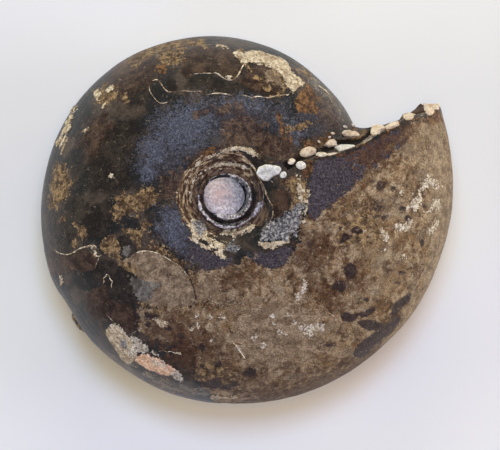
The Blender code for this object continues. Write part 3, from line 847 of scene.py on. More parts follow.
@dataclass(frozen=True)
class Weathering:
    """Works out every finish's cover and the surface's relief at given places.

    A cover runs from -far, where there is none, to deep. Where the picture
    doesn't reach, patchy noise and the finish's bias make it up: below the rim,
    from under_from down to under_to, and on the broken face. Each pair says
    from which value to which something sets in.
    """

    deep: float = 2.6
    far: float = 9.0
    margin_px: float = 14.0
    margin_softs: float = 3.0
    edge_noise: tuple[Unevenness, ...] = (Unevenness(2.2 * MM, 3.1, 2), Unevenness(0.9 * MM, 8.7, 2))
    edge_shares: tuple[float, ...] = (1.0, 0.8)
    layer_shift: tuple[float, float, float] = (0.037, 0.021, 0.013)
    under_from: float = 1.0 * MM
    under_to: float = -5.0 * MM
    patch_seed: float = 20.0
    patch_swing: float = 2.6
    bias_swing: float = 1.6
    under_wobble: float = 0.4
    wall_wobble: float = 0.5
    wall_top: tuple[float, float] = (-0.02, 0.04)
    wall_foot: tuple[float, float] = (1.02, 0.9)
    mould_middle: float = math.radians(-60.0)
    mould_swing: float = 1.3
    crust_swing: float = 1.9
    crust_reach: float = 0.22
    crust_level: float = 0.25
    waves: Unevenness = Unevenness(15.0 * MM, 1.7, 1)
    wave_height: float = 0.25 * MM
    dimples: Unevenness = Unevenness(2.6 * MM, 5.9, 3)
    dimple_height: float = 0.05 * MM
    dimples_off_mould: float = 0.2
    grit: Unevenness = Unevenness(0.8 * MM, 12.3, 2)
    grit_height: float = 0.03 * MM
    grit_off_mould: float = 0.1
    mould_rim: tuple[float, float] = (-0.5, 0.8)
    layer_rim: tuple[float, float] = (-0.6, 0.6)
    crust_rim: tuple[float, float] = (-0.4, 0.8)
    crumbs: Unevenness = Unevenness(0.9 * MM, 31.0, 2)
    crumb_height: float = 0.04 * MM

    def covers(self, points: Array, wall: Array, share: Array) -> dict[Layer, Array]:
        """Work out how surely each finish covers each place.

        Args:
            points: places in metres, one a row.
            wall: how far down the broken face a place is, or -1 off it.
            share: how far out along the flank a place is, from 0 to 1.

        Returns:
            For each finish, values above 0 where it covers and below 0 where not.
        """
        px, py = PICTURE.pixels(points)
        height = points[:, 2] - COIL.median_height
        under = 1.0 - smooth_step(self.under_to, self.under_from, height)
        _, angle = COIL.around(points)
        on_wall = smooth_step(*self.wall_top, wall) * smooth_step(*self.wall_foot, wall)
        found = {}
        for number, cover in enumerate(COVERS):
            shifted = points + np.array(Vector(self.layer_shift) * number)
            wobble = sum(part * noise.at(shifted) for part, noise in zip(self.edge_shares, self.edge_noise))
            value = np.full(len(points), -self.far)
            for mark in cover.marks:
                value = self._with_mark(value, mark, px, py, wobble)
            patchy = Unevenness(cover.under_size, self.patch_seed + number, 3).at(points) * self.patch_swing
            hidden = patchy + cover.under_bias * self.bias_swing + self.under_wobble * wobble
            if cover.layer is Layer.MOULD:
                hidden += self.mould_swing * np.cos(angle - self.mould_middle)
            if cover.layer is Layer.BLOT:
                hidden = np.where(found[Layer.MOULD] > 0.0, hidden, -self.far)
            value = mix(value, hidden, under)
            face = patchy + cover.wall_bias * self.bias_swing + self.wall_wobble * wobble
            if cover.layer is Layer.CRUST:
                lip = self.crust_swing * np.exp(-np.maximum(wall, 0.0) / self.crust_reach)
                face += lip * (self.crust_level - COIL.fold(share))
            # the painted crevice shade covers the deep part of the broken face
            if cover.layer is Layer.PAINTED_CREVICE_SHADE:
                value = np.maximum(value, np.where(on_wall > 0.5, face, -self.far))
            else:
                value = mix(value, face, on_wall)
            found[cover.layer] = np.clip(value, -self.far, self.deep)
        return found

    def _with_mark(self, value: Array, mark: Mark, px: Array, py: Array, wobble: Array) -> Array:
        """Add one mark to a finish's cover.

        Args:
            value: the cover so far.
            mark: the patch.
            px: the places' pixel columns.
            py: their pixel rows.
            wobble: the noise that makes edges ragged.

        Returns:
            The cover with the patch.
        """
        reach = self.margin_px + self.margin_softs * mark.soft
        (left, top), (right, bottom) = mark.corners().min(axis=0) - reach, mark.corners().max(axis=0) + reach
        near = (px > left) & (px < right) & (py > top) & (py < bottom)
        inside = (mark.depth(px[near], py[near]) + mark.ragged * wobble[near]) / mark.soft
        value[near] = np.maximum(value[near], inside)
        return value

    def relief(self, points: Array, covers: dict[Layer, Array]) -> Array:
        """Work out how far each place stands off the smooth shell.

        Args:
            points: places in metres, one a row.
            covers: what every finish covers.

        Returns:
            Heights in metres.
        """
        rough = smooth_step(*self.mould_rim, covers[Layer.MOULD])
        total = self.wave_height * self.waves.at(points)
        total += self.dimple_height * self.dimples.at(points) * (self.dimples_off_mould + rough)
        total += self.grit_height * self.grit.at(points) * (self.grit_off_mould + rough)
        for cover in COVERS:
            total += cover.thickness * smooth_step(*self.layer_rim, covers[cover.layer])
        crusty = smooth_step(*self.crust_rim, np.maximum(covers[Layer.CRUST], covers[Layer.PEACH]))
        return total + self.crumb_height * crusty * self.crumbs.at(points)


WEATHERING = Weathering()


def deselect() -> None:
    """Leave object mode's selection empty."""
    if bpy.context.object and bpy.context.object.mode != "OBJECT":
        bpy.ops.object.mode_set(mode="OBJECT")
    bpy.ops.object.select_all(action="DESELECT")


def added(operator: Callable[..., object], name: str, **settings: object) -> Piece:
    """Add one object with an operator.

    Args:
        operator: what adds it.
        name: the name that it gets.
        **settings: what the operator is told.

    Returns:
        The object, which alone is selected.
    """
    deselect()
    operator(**settings)
    thing = bpy.context.object
    thing.name = thing.data.name = name
    return thing


def read_points(mesh: Mesh, kind: str = "co") -> Array:
    """Read three numbers from each point of a mesh.

    Args:
        mesh: the mesh.
        kind: "co" for its places or "normal" for the ways in which it faces.

    Returns:
        The numbers, one point a row.
    """
    found = np.empty(len(mesh.vertices) * 3)
    mesh.vertices.foreach_get(kind, found)
    return found.reshape(-1, 3)


def place_points(mesh: Mesh, places: Array) -> None:
    """Move a mesh's points to the given places."""
    mesh.vertices.foreach_set("co", np.asarray(places, float).ravel())
    mesh.update()


def write_values(mesh: Mesh, name: str, values: Array) -> None:
    """Store one number for each point of a mesh under a name."""
    found = mesh.attributes.get(name) or mesh.attributes.new(name, "FLOAT", "POINT")
    found.data.foreach_set("value", np.asarray(values, np.float32))


def read_values(mesh: Mesh, name: str) -> Array:
    """Read back the numbers stored for each point of a mesh.

    Args:
        mesh: the mesh.
        name: what they are stored under.

    Returns:
        The numbers, one for each point.
    """
    values = np.empty(len(mesh.vertices), np.float32)
    mesh.attributes[name].data.foreach_get("value", values)
    return values.astype(float)


def raise_points(mesh: Mesh, heights: Array) -> None:
    """Move a mesh's points outwards by the given heights."""
    place_points(mesh, read_points(mesh) + read_points(mesh, "normal") * heights[:, None])


def add_ball(name: str) -> Piece:
    """Add a round ball, one metre in radius, to shape."""
    return added(bpy.ops.mesh.primitive_ico_sphere_add, name, subdivisions=5, radius=1.0)


def rest_on_paper(mesh: Mesh) -> None:
    """Flatten whatever of a mesh would sink below the paper."""
    place_points(mesh, np.maximum(read_points(mesh), (-np.inf, -np.inf, 0.0)))


def show_layers(mesh: Mesh, **shown: Array | float) -> None:
    """Store covers that show only the layers that are named."""
    for layer in Layer:
        write_values(mesh, layer.value, np.full(len(mesh.vertices), shown.get(layer.name, NOT_SHOWN)))


def wrapped_grid(name: str, places: Array, values: dict[str, Array]) -> Piece:
    """Wrap a flat grid into a closed skin.

    Args:
        name: the piece's name.
        places: rows by columns of points; equal neighbours are merged.
        values: numbers to store at the points, by name.

    Returns:
        The closed piece, with its faces pointing out.
    """
    rows, columns = places.shape[:2]
    piece = added(bpy.ops.mesh.primitive_grid_add, name, x_subdivisions=columns - 1, y_subdivisions=rows - 1)
    place_points(piece.data, places.reshape(-1, 3))
    for key, numbers in values.items():
        write_values(piece.data, key, numbers.ravel())
    bpy.ops.object.mode_set(mode="EDIT")
    bpy.ops.mesh.select_all(action="SELECT")
    bpy.ops.mesh.remove_doubles(threshold=MERGED)
    bpy.ops.mesh.normals_make_consistent(inside=False)
    bpy.ops.object.mode_set(mode="OBJECT")
    return piece


def finish_piece(piece: Piece, material: Paint, sharp: float = 50.0) -> None:
    """Dress a finished piece and let it ride on the fossil.

    Args:
        piece: the piece, in place.
        material: its finish.
        sharp: edges that bend more than this many degrees stay sharp.
    """
    deselect()
    piece.select_set(True)
    bpy.context.view_layer.objects.active = piece
    bpy.ops.object.shade_smooth_by_angle(angle=math.radians(sharp))
    piece.data.materials.clear()
    piece.data.materials.append(material)
    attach(piece, "root")
    log.info("%s: %d faces", piece.name, len(piece.data.polygons))


def weather(mesh: Mesh) -> None:
    """Store every finish's cover on a skin and raise its relief.

    Args:
        mesh: the skin, with its "wall" and "share" stored on its points.
    """
    points = read_points(mesh)
    covers = WEATHERING.covers(points, read_values(mesh, "wall"), read_values(mesh, "share"))
    for layer, values in covers.items():
        write_values(mesh, layer.value, values)
    raise_points(mesh, WEATHERING.relief(points, covers))


@dataclass(frozen=True)
class Umbilicus:
    """The filled hollow in the middle of the upper flank.

    The filling and the shell cross at a wandering radius: within reach of it
    each dips under the other, and further in the shell sinks away. The rings
    are arcs that the picture shows, and the plug is a disc of its own.
    """

    floor_depth: float = 2.1 * MM
    lip_depth: float = 1.2 * MM
    lip_from: float = 6.2 * MM
    lip_to: float = 6.9 * MM
    cross_radius: float = 7.45 * MM
    cross_waves: Waves = ((0.12 * MM, 3, 1.0), (0.08 * MM, 7, 0.0), (0.06 * MM, 13, 2.0))
    cross_reach: float = 0.35 * MM
    cross_dip: float = 0.3 * MM
    sink_from: float = 0.5 * MM
    sink_to: float = 1.5 * MM
    sink_depth: float = 1.5 * MM
    inner_radius: float = 0.4 * MM
    outer_radius: float = 8.0 * MM
    skirt: float = 1.5 * MM
    stations: int = 380
    rows: int = 84
    ring_rise: float = 0.8 * MM
    ring_rim: tuple[float, float] = (-0.8, 1.0)
    ring_wobble: Unevenness = Unevenness(0.8 * MM, 4.4, 2)
    floor_room: float = 0.5 * MM
    rims: tuple[Mark, ...] = (
        Ring(x=227.5, y=196.4, radius=23.2, width=5.0, start=225, end=440, soft=1.2, ragged=0.6),
        Ring(x=227.5, y=198.5, radius=28.6, width=3.4, start=130, end=340, soft=1.2, ragged=0.6),
    )

    def hollow(self, radius: Array) -> Array:
        """Work out the hollow's depth below the coil's shoulder.

        Args:
            radius: how far from the coil's axis.

        Returns:
            The depth there.
        """
        lip = (self.floor_depth - self.lip_depth) * smooth_step(self.lip_from, self.lip_to, radius)
        slope = self.lip_depth * smooth_step(self.lip_to, COIL.shoulder_radius, radius)
        return self.floor_depth - lip - slope

    def crossing(self, angle: Array) -> Array:
        """The wandering radius at which the filling meets the shell."""
        return self.cross_radius + ripples(angle, self.cross_waves)

    def shell_dip(self, radius: Array, angle: Array) -> Array:
        """Work out how far the shell sinks under the filling.

        Args:
            radius: how far from the coil's axis.
            angle: anticlockwise from +X.

        Returns:
            The depth there.
        """
        over = self.crossing(angle) - radius
        dip = self.cross_dip * smooth_step(-self.cross_reach, self.cross_reach, over)
        return dip + self.sink_depth * smooth_step(self.sink_from, self.sink_to, over)

    def filling_dip(self, radius: Array, angle: Array) -> Array:
        """How far the filling sinks under the shell."""
        over = radius - self.crossing(angle)
        return self.cross_dip * smooth_step(-self.cross_reach, self.cross_reach, over)

    def _raise_rings(self, mesh: Mesh) -> None:
        """Raise the rings on the hollow's floor.

        Args:
            mesh: the filling.
        """
        points = read_points(mesh)
        upper = points[:, 2] > COIL.median_height + COIL.upper_shoulder - self.floor_depth - self.floor_room
        px, py = PICTURE.pixels(points)
        wobble = self.ring_wobble.at(points)
        for rim in self.rims:
            value = (rim.depth(px, py) + rim.ragged * wobble) / rim.soft
            points[:, 2] += self.ring_rise * smooth_step(*self.ring_rim, value) * upper
        place_points(mesh, points)

    def build(self, material: Paint) -> Piece:
        """Model the hollow's floor and rings, and dress them.

        Args:
            material: the skin's finish.

        Returns:
            The filling.
        """
        angle = np.linspace(0.0, 2 * np.pi, self.stations + 1)[None, :]
        spread = np.linspace(self.inner_radius, self.outer_radius, self.rows)
        radius = np.concatenate(((0.0,), spread))[:, None]
        radius, angle = np.broadcast_arrays(radius, angle)
        turn = ((angle - COIL.break_angle) / (2 * np.pi)) % 1.0
        height = COIL.flank_height(radius, turn, True) - self.hollow(radius) - self.filling_dip(radius, angle)
        top = COIL.placed(radius, angle, height)
        skirt = COIL.placed(radius[-1:], angle[-1:], height[-1:] - self.skirt)
        base = COIL.placed(radius[:1], angle[:1], np.full_like(height[:1], height.min() - self.skirt))
        places = np.concatenate((top, skirt, base))
        places[:, -1] = places[:, 0]
        off = {"wall": np.full(places.shape[:2], -1.0), "share": np.zeros(places.shape[:2])}
        piece = wrapped_grid("umbilicus_filling", places, off)
        self._raise_rings(piece.data)
        weather(piece.data)
        finish_piece(piece, material)
        return piece


@dataclass(frozen=True)
class Plug:
    """The pale disc of calcite that fills the middle of the umbilicus.

    Its middle is at pixel x, y of the picture. The waves of its rim are shares
    of the radius.
    """

    x: float = 223.9
    y: float = 196.9
    radius: float = 3.62 * MM
    squash: float = 0.97
    depth: float = 1.0 * MM
    dome: float = 0.22 * MM
    thickness: float = 1.8 * MM
    rim_waves: Waves = ((0.012, 3, 0.5), (0.010, 5, 2.0))
    rim_sharpness: float = 0.30
    side_power: int = 3
    stations: int = 180
    rows: int = 46
    grit: Unevenness = Unevenness(0.7 * MM, 2.2, 3)
    grit_height: float = 0.035 * MM

    def build(self, material: Paint) -> Piece:
        """Model the disc with its rounded, uneven rim, and dress it.

        Args:
            material: its finish.

        Returns:
            The plug.
        """
        eye, sight = PICTURE.sight((self.x, self.y))
        level = COIL.median_height + COIL.upper_shoulder - self.depth
        middle = eye + sight * ((level - eye.z) / sight.z)
        angle = np.linspace(0.0, 2 * np.pi, self.stations + 1)
        angle[-1] = 0.0
        slope = np.linspace(0.0, np.pi, self.rows)[:, None]
        rim = self.radius * (1.0 + ripples(angle, self.rim_waves))
        reach = np.sin(slope) ** self.rim_sharpness * np.where(slope == np.pi, 0.0, 1.0)
        x = middle.x + reach * rim * np.cos(angle)
        y = middle.y + reach * rim * np.sin(angle) * self.squash
        crown = self.dome * (1.0 - reach**2) * (slope < np.pi / 2)
        z = middle.z - self.thickness / 2.0 * (1.0 - np.cos(slope) ** self.side_power) + crown + 0.0 * x
        piece = wrapped_grid("umbilicus_plug", np.stack((x, y, z), axis=-1), {})
        raise_points(piece.data, self.grit.at(read_points(piece.data)) * self.grit_height)
        finish_piece(piece, material)
        return piece


@dataclass(frozen=True)
class Shell:
    """The coiled shell with its broken face, as one closed skin."""

    umbilicus: Umbilicus
    stations: int = 460
    wall_columns: int = 24
    upper_rows: int = 118
    lower_rows: int = 40
    shoulder_rows: int = 14
    profile_samples: int = 400
    inner_radii: tuple[float, ...] = (0.0, 3.0 * MM, 5.6 * MM, 6.5 * MM)
    wall_crowding: float = 1.25
    wall_fillet_power: int = 4
    wall_bulge_room: float = 4.0
    wall_frill: float = 1.2
    wall_frill_reach: float = 0.25
    lower_profile: tuple[tuple[float, float], ...] = (
        (0.0, 1.35), (1.5, 1.38), (3.0, 1.50), (3.6, 1.95), (4.2, 2.60), (4.9, 2.50), (5.7, 2.30),
        (6.3, 2.00), (7.0, 1.60), (7.6, 1.10), (8.3, 0.50), (8.8, 0.20))

    def _even_shares(self, rows: int, upper: bool) -> Array:
        """Find shares of the way out that leave rows equally far apart.

        Args:
            rows: how many rows.
            upper: whether they lie on the upper flank.

        Returns:
            Their shares, from 0 to 1.
        """
        fine = np.linspace(0.0, 1.0, self.profile_samples)
        radius = COIL.flank_radius(fine, 1.0)
        height = COIL.flank_height(radius, 1.0, upper)
        steps = np.hypot(np.diff(radius), np.diff(height))
        length = np.concatenate(((0.0,), np.cumsum(steps)))
        return np.interp(np.linspace(0.0, length[-1], rows), length, fine)

    def _flank_row(self, share: float, upper: bool) -> Array:
        """Lay one row of points along the coil, on the open flank.

        Args:
            share: how far out the row lies, from 0 to 1.
            upper: whether it lies on the upper flank.

        Returns:
            Its points.
        """
        turn = mix(COIL.runout(share) / (2 * np.pi), 1.0, np.linspace(0.0, 1.0, self.stations + 1))
        radius = COIL.flank_radius(share, turn)
        height = COIL.flank_height(radius, turn, upper)
        edge = COIL.edge_fold * COIL.fold(share) + COIL.frill * COIL.frilled(share) * share
        angle = COIL.break_angle + COIL.edge_angle(radius, upper) + 2 * np.pi * turn + edge / radius
        return COIL.placed(radius, angle, height if upper else -height)

    def _hollow_row(self, radius: float, depth: Array, start: float, upper: bool) -> Array:
        """Lay one row of points inside the shoulder, round to the break.

        Args:
            radius: how far it lies from the coil's axis.
            depth: how far below the flank it lies.
            start: the turn at which it starts.
            upper: whether it lies on the upper flank.

        Returns:
            Its points.
        """
        turn = mix(start, 1.0, np.linspace(0.0, 1.0, self.stations + 1))
        far = np.full_like(turn, radius)
        angle = COIL.break_angle + COIL.edge_angle(far, upper) + 2 * np.pi * turn
        drop = self.umbilicus.shell_dip(far, angle) if upper else 0.0
        height = COIL.flank_height(far, turn, upper) - depth - drop
        return COIL.placed(far, angle, height if upper else -height)

    def _wall(self, outer: Array, inner: Array, share: float) -> Array:
        """Lay one row of points down the broken face.

        Args:
            outer: the point on the broken edge.
            inner: the point on the whorl inside.
            share: how far out the row lies, from 0 to 1.

        Returns:
            Its points.
        """
        down = np.linspace(0.0, 1.0, self.wall_columns + 1)[1:-1] ** self.wall_crowding
        ahead = np.array((-math.sin(COIL.break_angle), math.cos(COIL.break_angle), 0.0))
        run = inner - outer
        lean = (run @ ahead) * (down**self.wall_fillet_power - down)
        room = min(1.0, float(np.linalg.norm(run)) / (self.wall_bulge_room * COIL.wall_bulge))
        frill = self.wall_frill * COIL.frill * COIL.frilled(share) * np.exp(-down / self.wall_frill_reach)
        swell = np.sin(np.pi * down) * room * (COIL.wall_bulge + COIL.wall_fold * COIL.fold(share) + frill)
        return outer + run * down[:, None] + ahead * (lean + swell)[:, None]

    def _rows(self) -> list[tuple[Array, float, bool]]:
        """Lay every row of the skin, from the upper pole over the rim to the lower.

        Returns:
            For each row its points, its share, and whether the whorls share it.
        """
        shoulder = COIL.flank_runout / (2 * np.pi)
        rows = []
        for radius in (*self.inner_radii, COIL.seam_radius):
            rows.append((self._hollow_row(radius, self.umbilicus.hollow(radius), 0.0, True), 0.0, True))
        for radius in np.linspace(COIL.seam_radius, COIL.shoulder_radius, self.shoulder_rows + 1)[1:-1]:
            rows.append((self._hollow_row(radius, self.umbilicus.hollow(radius), shoulder, True), 0.0, False))
        for share in self._even_shares(self.upper_rows, True):
            rows.append((self._flank_row(share, True), share, False))
        for share in self._even_shares(self.lower_rows, False)[-2::-1]:
            rows.append((self._flank_row(share, False), share, False))
        for radius, depth in np.array(self.lower_profile)[::-1] * MM:
            shared = radius <= COIL.seam_radius
            rows.append((self._hollow_row(radius, depth, 0.0 if shared else shoulder, False), 0.0, shared))
        return rows

    def build(self, material: Paint) -> Piece:
        """Model the shell, weather it and dress it.

        Args:
            material: the skin's finish.

        Returns:
            The shell.
        """
        places, wall, shares = [], [], []
        for row, share, shared in self._rows():
            face = np.repeat(row[:1], self.wall_columns - 1, axis=0)
            depth = np.full(len(row) + self.wall_columns, -1.0)
            if shared:
                row[-1] = row[0]
            else:
                face = self._wall(row[-1], row[0], share)
                depth[len(row):-1] = np.linspace(0.0, 1.0, self.wall_columns + 1)[1:-1]
            places.append(np.concatenate((row, face, row[:1])))
            wall.append(depth)
            shares.append(np.full(len(depth), share))
        values = {"wall": np.array(wall), "share": np.array(shares)}
        piece = wrapped_grid("shell", np.array(places), values)
        weather(piece.data)
        rest_on_paper(piece.data)
        finish_piece(piece, material)
        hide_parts(NODE)
        return piece


class Surface:
    """The finished skin, to lay other pieces on.

    A pixel that shows none of it gets the skin nearest to the place where its
    line of sight is MISSED above the picture's level.
    """

    MISSED = 8.0 * MM

    def __init__(self, *pieces: Piece) -> None:
        """Gather the skins.

        Args:
            pieces: the skins that other pieces lie on.
        """
        depsgraph = bpy.context.evaluated_depsgraph_get()
        self.trees = [BVHTree.FromObject(piece, depsgraph) for piece in pieces]

    def under(self, pixel: Pixel) -> tuple[Vector, Vector]:
        """Find the place that a pixel shows.

        Args:
            pixel: column and row in the picture.

        Returns:
            The place and the direction in which the skin faces there.
        """
        eye, sight = PICTURE.sight(pixel)
        hits = [tree.ray_cast(eye, sight) for tree in self.trees]
        hits = [hit for hit in hits if hit[0] is not None]
        if hits:
            place, normal, _, _ = min(hits, key=lambda hit: hit[3])
            return place, normal
        past = eye + sight * ((PICTURE.level + self.MISSED - eye.z) / sight.z)
        place, normal, _, _ = self.trees[0].find_nearest(past)
        return place, normal

    def straight(self, x: float, y: float, upper: bool) -> tuple[Vector, Vector]:
        """Find the highest or the lowest skin over a place in plan.

        Args:
            x: where it lies along X.
            y: where it lies along Y.
            upper: whether the highest is wanted.

        Returns:
            The place and the direction in which the skin faces there.
        """
        direction = Vector((0.0, 0.0, -1.0 if upper else 1.0))
        place, normal, _, _ = self.trees[0].ray_cast(Vector((x, y, 0.0)) - direction, direction)
        return place, normal


@dataclass(frozen=True)
class Lump:
    """A calcite lump with an outline of its own, in pixels of the picture."""

    outline: tuple[Pixel, ...]
    thickness: float = 0.9 * MM
    white: float = 0.0


@dataclass(frozen=True)
class Pebble:
    """An oval calcite lump, in pixels of the picture; turn is in degrees."""

    x: float
    y: float
    wide: float
    high: float
    turn: float = 0.0
    white: float = 0.0


@dataclass(frozen=True)
class CalciteLumps:
    """The calcite lumps that line the broken edge.

    Each one of the lower edge, hidden in the picture, has its radius and angle
    about the coil's axis, its length, its width and its turn, in millimetres
    and degrees.
    """

    lumps: tuple[Lump, ...] = (
        Lump(((257.2, 172.4), (259.4, 167), (265.4, 164.7), (280.7, 166.2), (282.4, 168.7), (279.2, 174.1),
            (273.2, 176.4), (268.6, 181), (263.9, 180.2), (259.4, 176.2)), 1.3 * MM, 1),
        Lump(((323.5, 145.5), (329, 140.2), (333, 139.4), (336.4, 142), (337.2, 146.4), (329, 147.6)),
            1.3 * MM, 0.2),
        Lump(((339.6, 134), (343, 131.1), (348.3, 129.9), (352.6, 132.3), (359.4, 137.2), (351, 138.7),
            (343, 136.4)), 1.3 * MM, 0.1),
        Lump(((334.8, 147.4), (341.8, 145.3), (354.6, 145.8), (355.4, 149), (350.8, 154.6), (339.3, 151.9)),
            1.1 * MM, 0.9),
        Lump(((371.2, 130.2), (373, 126.4), (378.3, 124.9), (384, 126.3), (386.6, 128.7), (381.9, 131.3),
            (381.2, 135), (377.7, 137.5), (373.4, 136.6), (371, 134)), 1.4 * MM, 0.15),
        Lump(((385.3, 127), (391, 123.6), (398, 121.4), (399, 124.6), (393, 127.2), (387, 129.8)), 1.0 * MM,
            0.1),
        Lump(((402.8, 117.4), (404, 114.2), (409.7, 113.2), (415.9, 115.2), (413.9, 118.4), (407.7, 121),
            (403.7, 120)), 1.2 * MM, 0.15),
        Lump(((421.8, 107.3), (423.4, 104.2), (430, 104.6), (434, 105), (439.4, 104.2), (440, 108.7),
            (435.2, 110.4), (432.4, 113.5), (430.3, 116.6), (425.5, 116.4), (422.6, 112.7)), 1.7 * MM, 0.1),
    )
    splinters: tuple[Lump, ...] = (
        Lump(((410.8, 113.4), (415.2, 110.4), (418.6, 106.4), (421.4, 103.9), (424, 105.5), (424.5, 112),
            (423, 116), (416.5, 116), (412, 117)), 1.0 * MM),
        Lump(((398.4, 121.6), (401.2, 118), (403.4, 114.4), (406.5, 113.4), (405.8, 118), (404, 121.8),
            (400.5, 123)), 0.8 * MM),
    )
    pebbles: tuple[Pebble, ...] = (
        Pebble(283.2, 174.8, 3.4, 3, 45, 1), Pebble(301, 165.3, 5, 4, -10, 0.8),
        Pebble(291.5, 161.4, 3.8, 2.9, 20, 0.4), Pebble(308, 152.2, 8.3, 5.2, 14, 0.1),
        Pebble(321.4, 154.6, 5.6, 2.6, 0, 0.5), Pebble(333, 154.2, 6.5, 1.4, 4, 0.4),
        Pebble(354.8, 134, 4.8, 2.9, -14, 0.1), Pebble(409.6, 118, 4.6, 2.4, 20, 0.15),
        Pebble(429.8, 111.6, 4.6, 3.8, 30, 0.1), Pebble(435.6, 108.4, 3.4, 2.6, 0, 0.2),
        Pebble(345.2, 126.8, 2.3, 1.2, -15, 0.6), Pebble(352.6, 125.2, 3, 1.3, -18, 0.7),
        Pebble(333, 133.4, 1.9, 1.3, -20, 0.3), Pebble(329.7, 137.2, 1.3, 1.2, 0, 0.9),
        Pebble(318.9, 141.7, 1.8, 1.1, -40, 0.3),
    )
    lower: tuple[tuple[float, float, float, float, float], ...] = (
        (11, 25, 2.6, 1.8, 10), (16.2, 27, 2.8, 1.8, 40), (21, 25, 2.4, 1.6, 0), (26, 26.5, 3, 1.7, 20),
        (32, 23, 2.2, 1.6, 0), (37.5, 23, 2.6, 1.8, 30),
    )
    flatness: float = 0.62
    sunk: float = -0.12
    upright: float = 0.8
    steepest: float = 0.5
    lean_reach: float = 0.9 * MM
    bumps: Unevenness = Unevenness(0.9 * MM, 6.6, 3)
    bump_height: float = 0.045 * MM
    corner: float = 0.26
    lower_white: float = 0.3
    corner_slack: float = 1e-6

    def _settle(self, ball: Piece, flat: Array, thickness: float, place: Vector,
                normal: Vector, white: float, material: Paint, seen: Pixel | None = None) -> None:
        """Lay a shaped ball on the skin, roughen it and dress it.

        Args:
            ball: the lump.
            flat: its points' offsets in plan, two to a row.
            thickness: its height from underside to top.
            place: where it lies.
            normal: the direction in which the skin faces there.
            white: how white it is, from 0 to 1.
            material: its finish.
            seen: the pixel of the picture that it has to be seen round, if any.
        """
        ball_points = read_points(ball.data)
        slope = normal / math.copysign(max(abs(normal.z), self.steepest), normal.z)
        lean = -self.lean_reach * np.tanh((flat[:, 0] * slope.x + flat[:, 1] * slope.y) / self.lean_reach)
        normal = (normal + Vector((0.0, 0.0, math.copysign(self.upright, normal.z)))).normalized()
        rise = ball_points[:, 2] * thickness / 2.0 - thickness * self.sunk
        points = np.stack((place.x + flat[:, 0], place.y + flat[:, 1], place.z + lean), axis=1)
        points += np.array(normal) * rise[:, None]
        if seen:
            px, py = PICTURE.pixels(points)
            wide, high = (flat.min(axis=0) + flat.max(axis=0)) / 2.0 / PICTURE.pixel
            aside = (seen[0] + wide - (px.min() + px.max()) / 2.0) * PICTURE.pixel
            ahead = ((py.min() + py.max()) / 2.0 + high - seen[1]) * PICTURE.pixel
            points += (aside, ahead, -aside * slope.x - ahead * slope.y)
        place_points(ball.data, points)
        raise_points(ball.data, self.bumps.at(points) * self.bump_height)
        rest_on_paper(ball.data)
        write_values(ball.data, "white", np.full(len(points), white))
        finish_piece(ball, material)

    def build(self, skin: Surface, material: Paint, dark: Paint) -> None:
        """Model every lump along both edges of the break, and the dark splinters beside them.

        Args:
            skin: what the lumps lie on.
            material: their finish.
            dark: the splinters' finish.
        """
        for number, lump in enumerate(self.lumps):
            self._outlined(f"calcite_lump_{number}", lump, skin, material)
        for number, splinter in enumerate(self.splinters):
            ball = self._outlined(f"shell_splinter_{number}", splinter, skin, dark)
            show_layers(ball.data, BROWN=1.0, STAIN=0.6)
        for number, pebble in enumerate(self.pebbles):
            ball = add_ball(f"calcite_pebble_{number}")
            flat = self._oval(ball, pebble.wide * PICTURE.pixel, pebble.high * PICTURE.pixel, pebble.turn)
            place, normal = skin.under((pebble.x, pebble.y))
            thickness = 2.0 * pebble.high * PICTURE.pixel * self.flatness
            self._settle(ball, flat, thickness, place, normal, pebble.white, material, (pebble.x, pebble.y))
        for number, (radius, angle, length, width, turn) in enumerate(self.lower):
            ball = add_ball(f"lower_calcite_{number}")
            flat = self._oval(ball, length / 2.0 * MM, width / 2.0 * MM, turn)
            spot = COIL.placed(radius * MM, math.radians(angle), 0.0)
            place, normal = skin.straight(spot[0], spot[1], False)
            lean = Vector((normal.x, normal.y, -normal.z))
            self._settle(ball, flat, width * self.flatness * MM, place, lean, self.lower_white, material)

    def _outlined(self, name: str, lump: Lump, skin: Surface, material: Paint) -> Piece:
        """Model a lump that has an outline of its own.

        Args:
            name: its name.
            lump: its outline and sizes.
            skin: what it lies on.
            material: its finish.

        Returns:
            The lump.
        """
        ball = add_ball(name)
        outline = np.array(lump.outline) * (1.0, -1.0)
        middle = outline.mean(axis=0)
        points = read_points(ball.data)
        around = np.arctan2(points[:, 1], points[:, 0])
        out = self._reach(outline - middle, around) * PICTURE.pixel
        spread = np.hypot(points[:, 0], points[:, 1]) ** self.corner
        flat = np.stack((np.cos(around), np.sin(around)), axis=1) * (out * spread)[:, None]
        seen = (middle[0], -middle[1])
        place, normal = skin.under(seen)
        self._settle(ball, flat, lump.thickness, place, normal, lump.white, material, seen)
        return ball

    def _reach(self, outline: Array, around: Array) -> Array:
        """Work out how far a straight-edged outline lies from its middle.

        Args:
            outline: its corners, from the middle.
            around: the angles to look in.

        Returns:
            The distance at each angle.
        """
        reach = np.zeros(len(around))
        for start, end in zip(outline, np.roll(outline, -1, axis=0)):
            run = end - start
            slant = np.cos(around) * run[1] - np.sin(around) * run[0]
            slant = np.where(np.abs(slant) < TINY, TINY, slant)
            far = (start[0] * run[1] - start[1] * run[0]) / slant
            share = (start[0] * np.sin(around) - start[1] * np.cos(around)) / slant
            met = np.abs(share - 0.5) <= 0.5 + self.corner_slack
            reach = np.where(met & (far > reach), far, reach)
        return reach

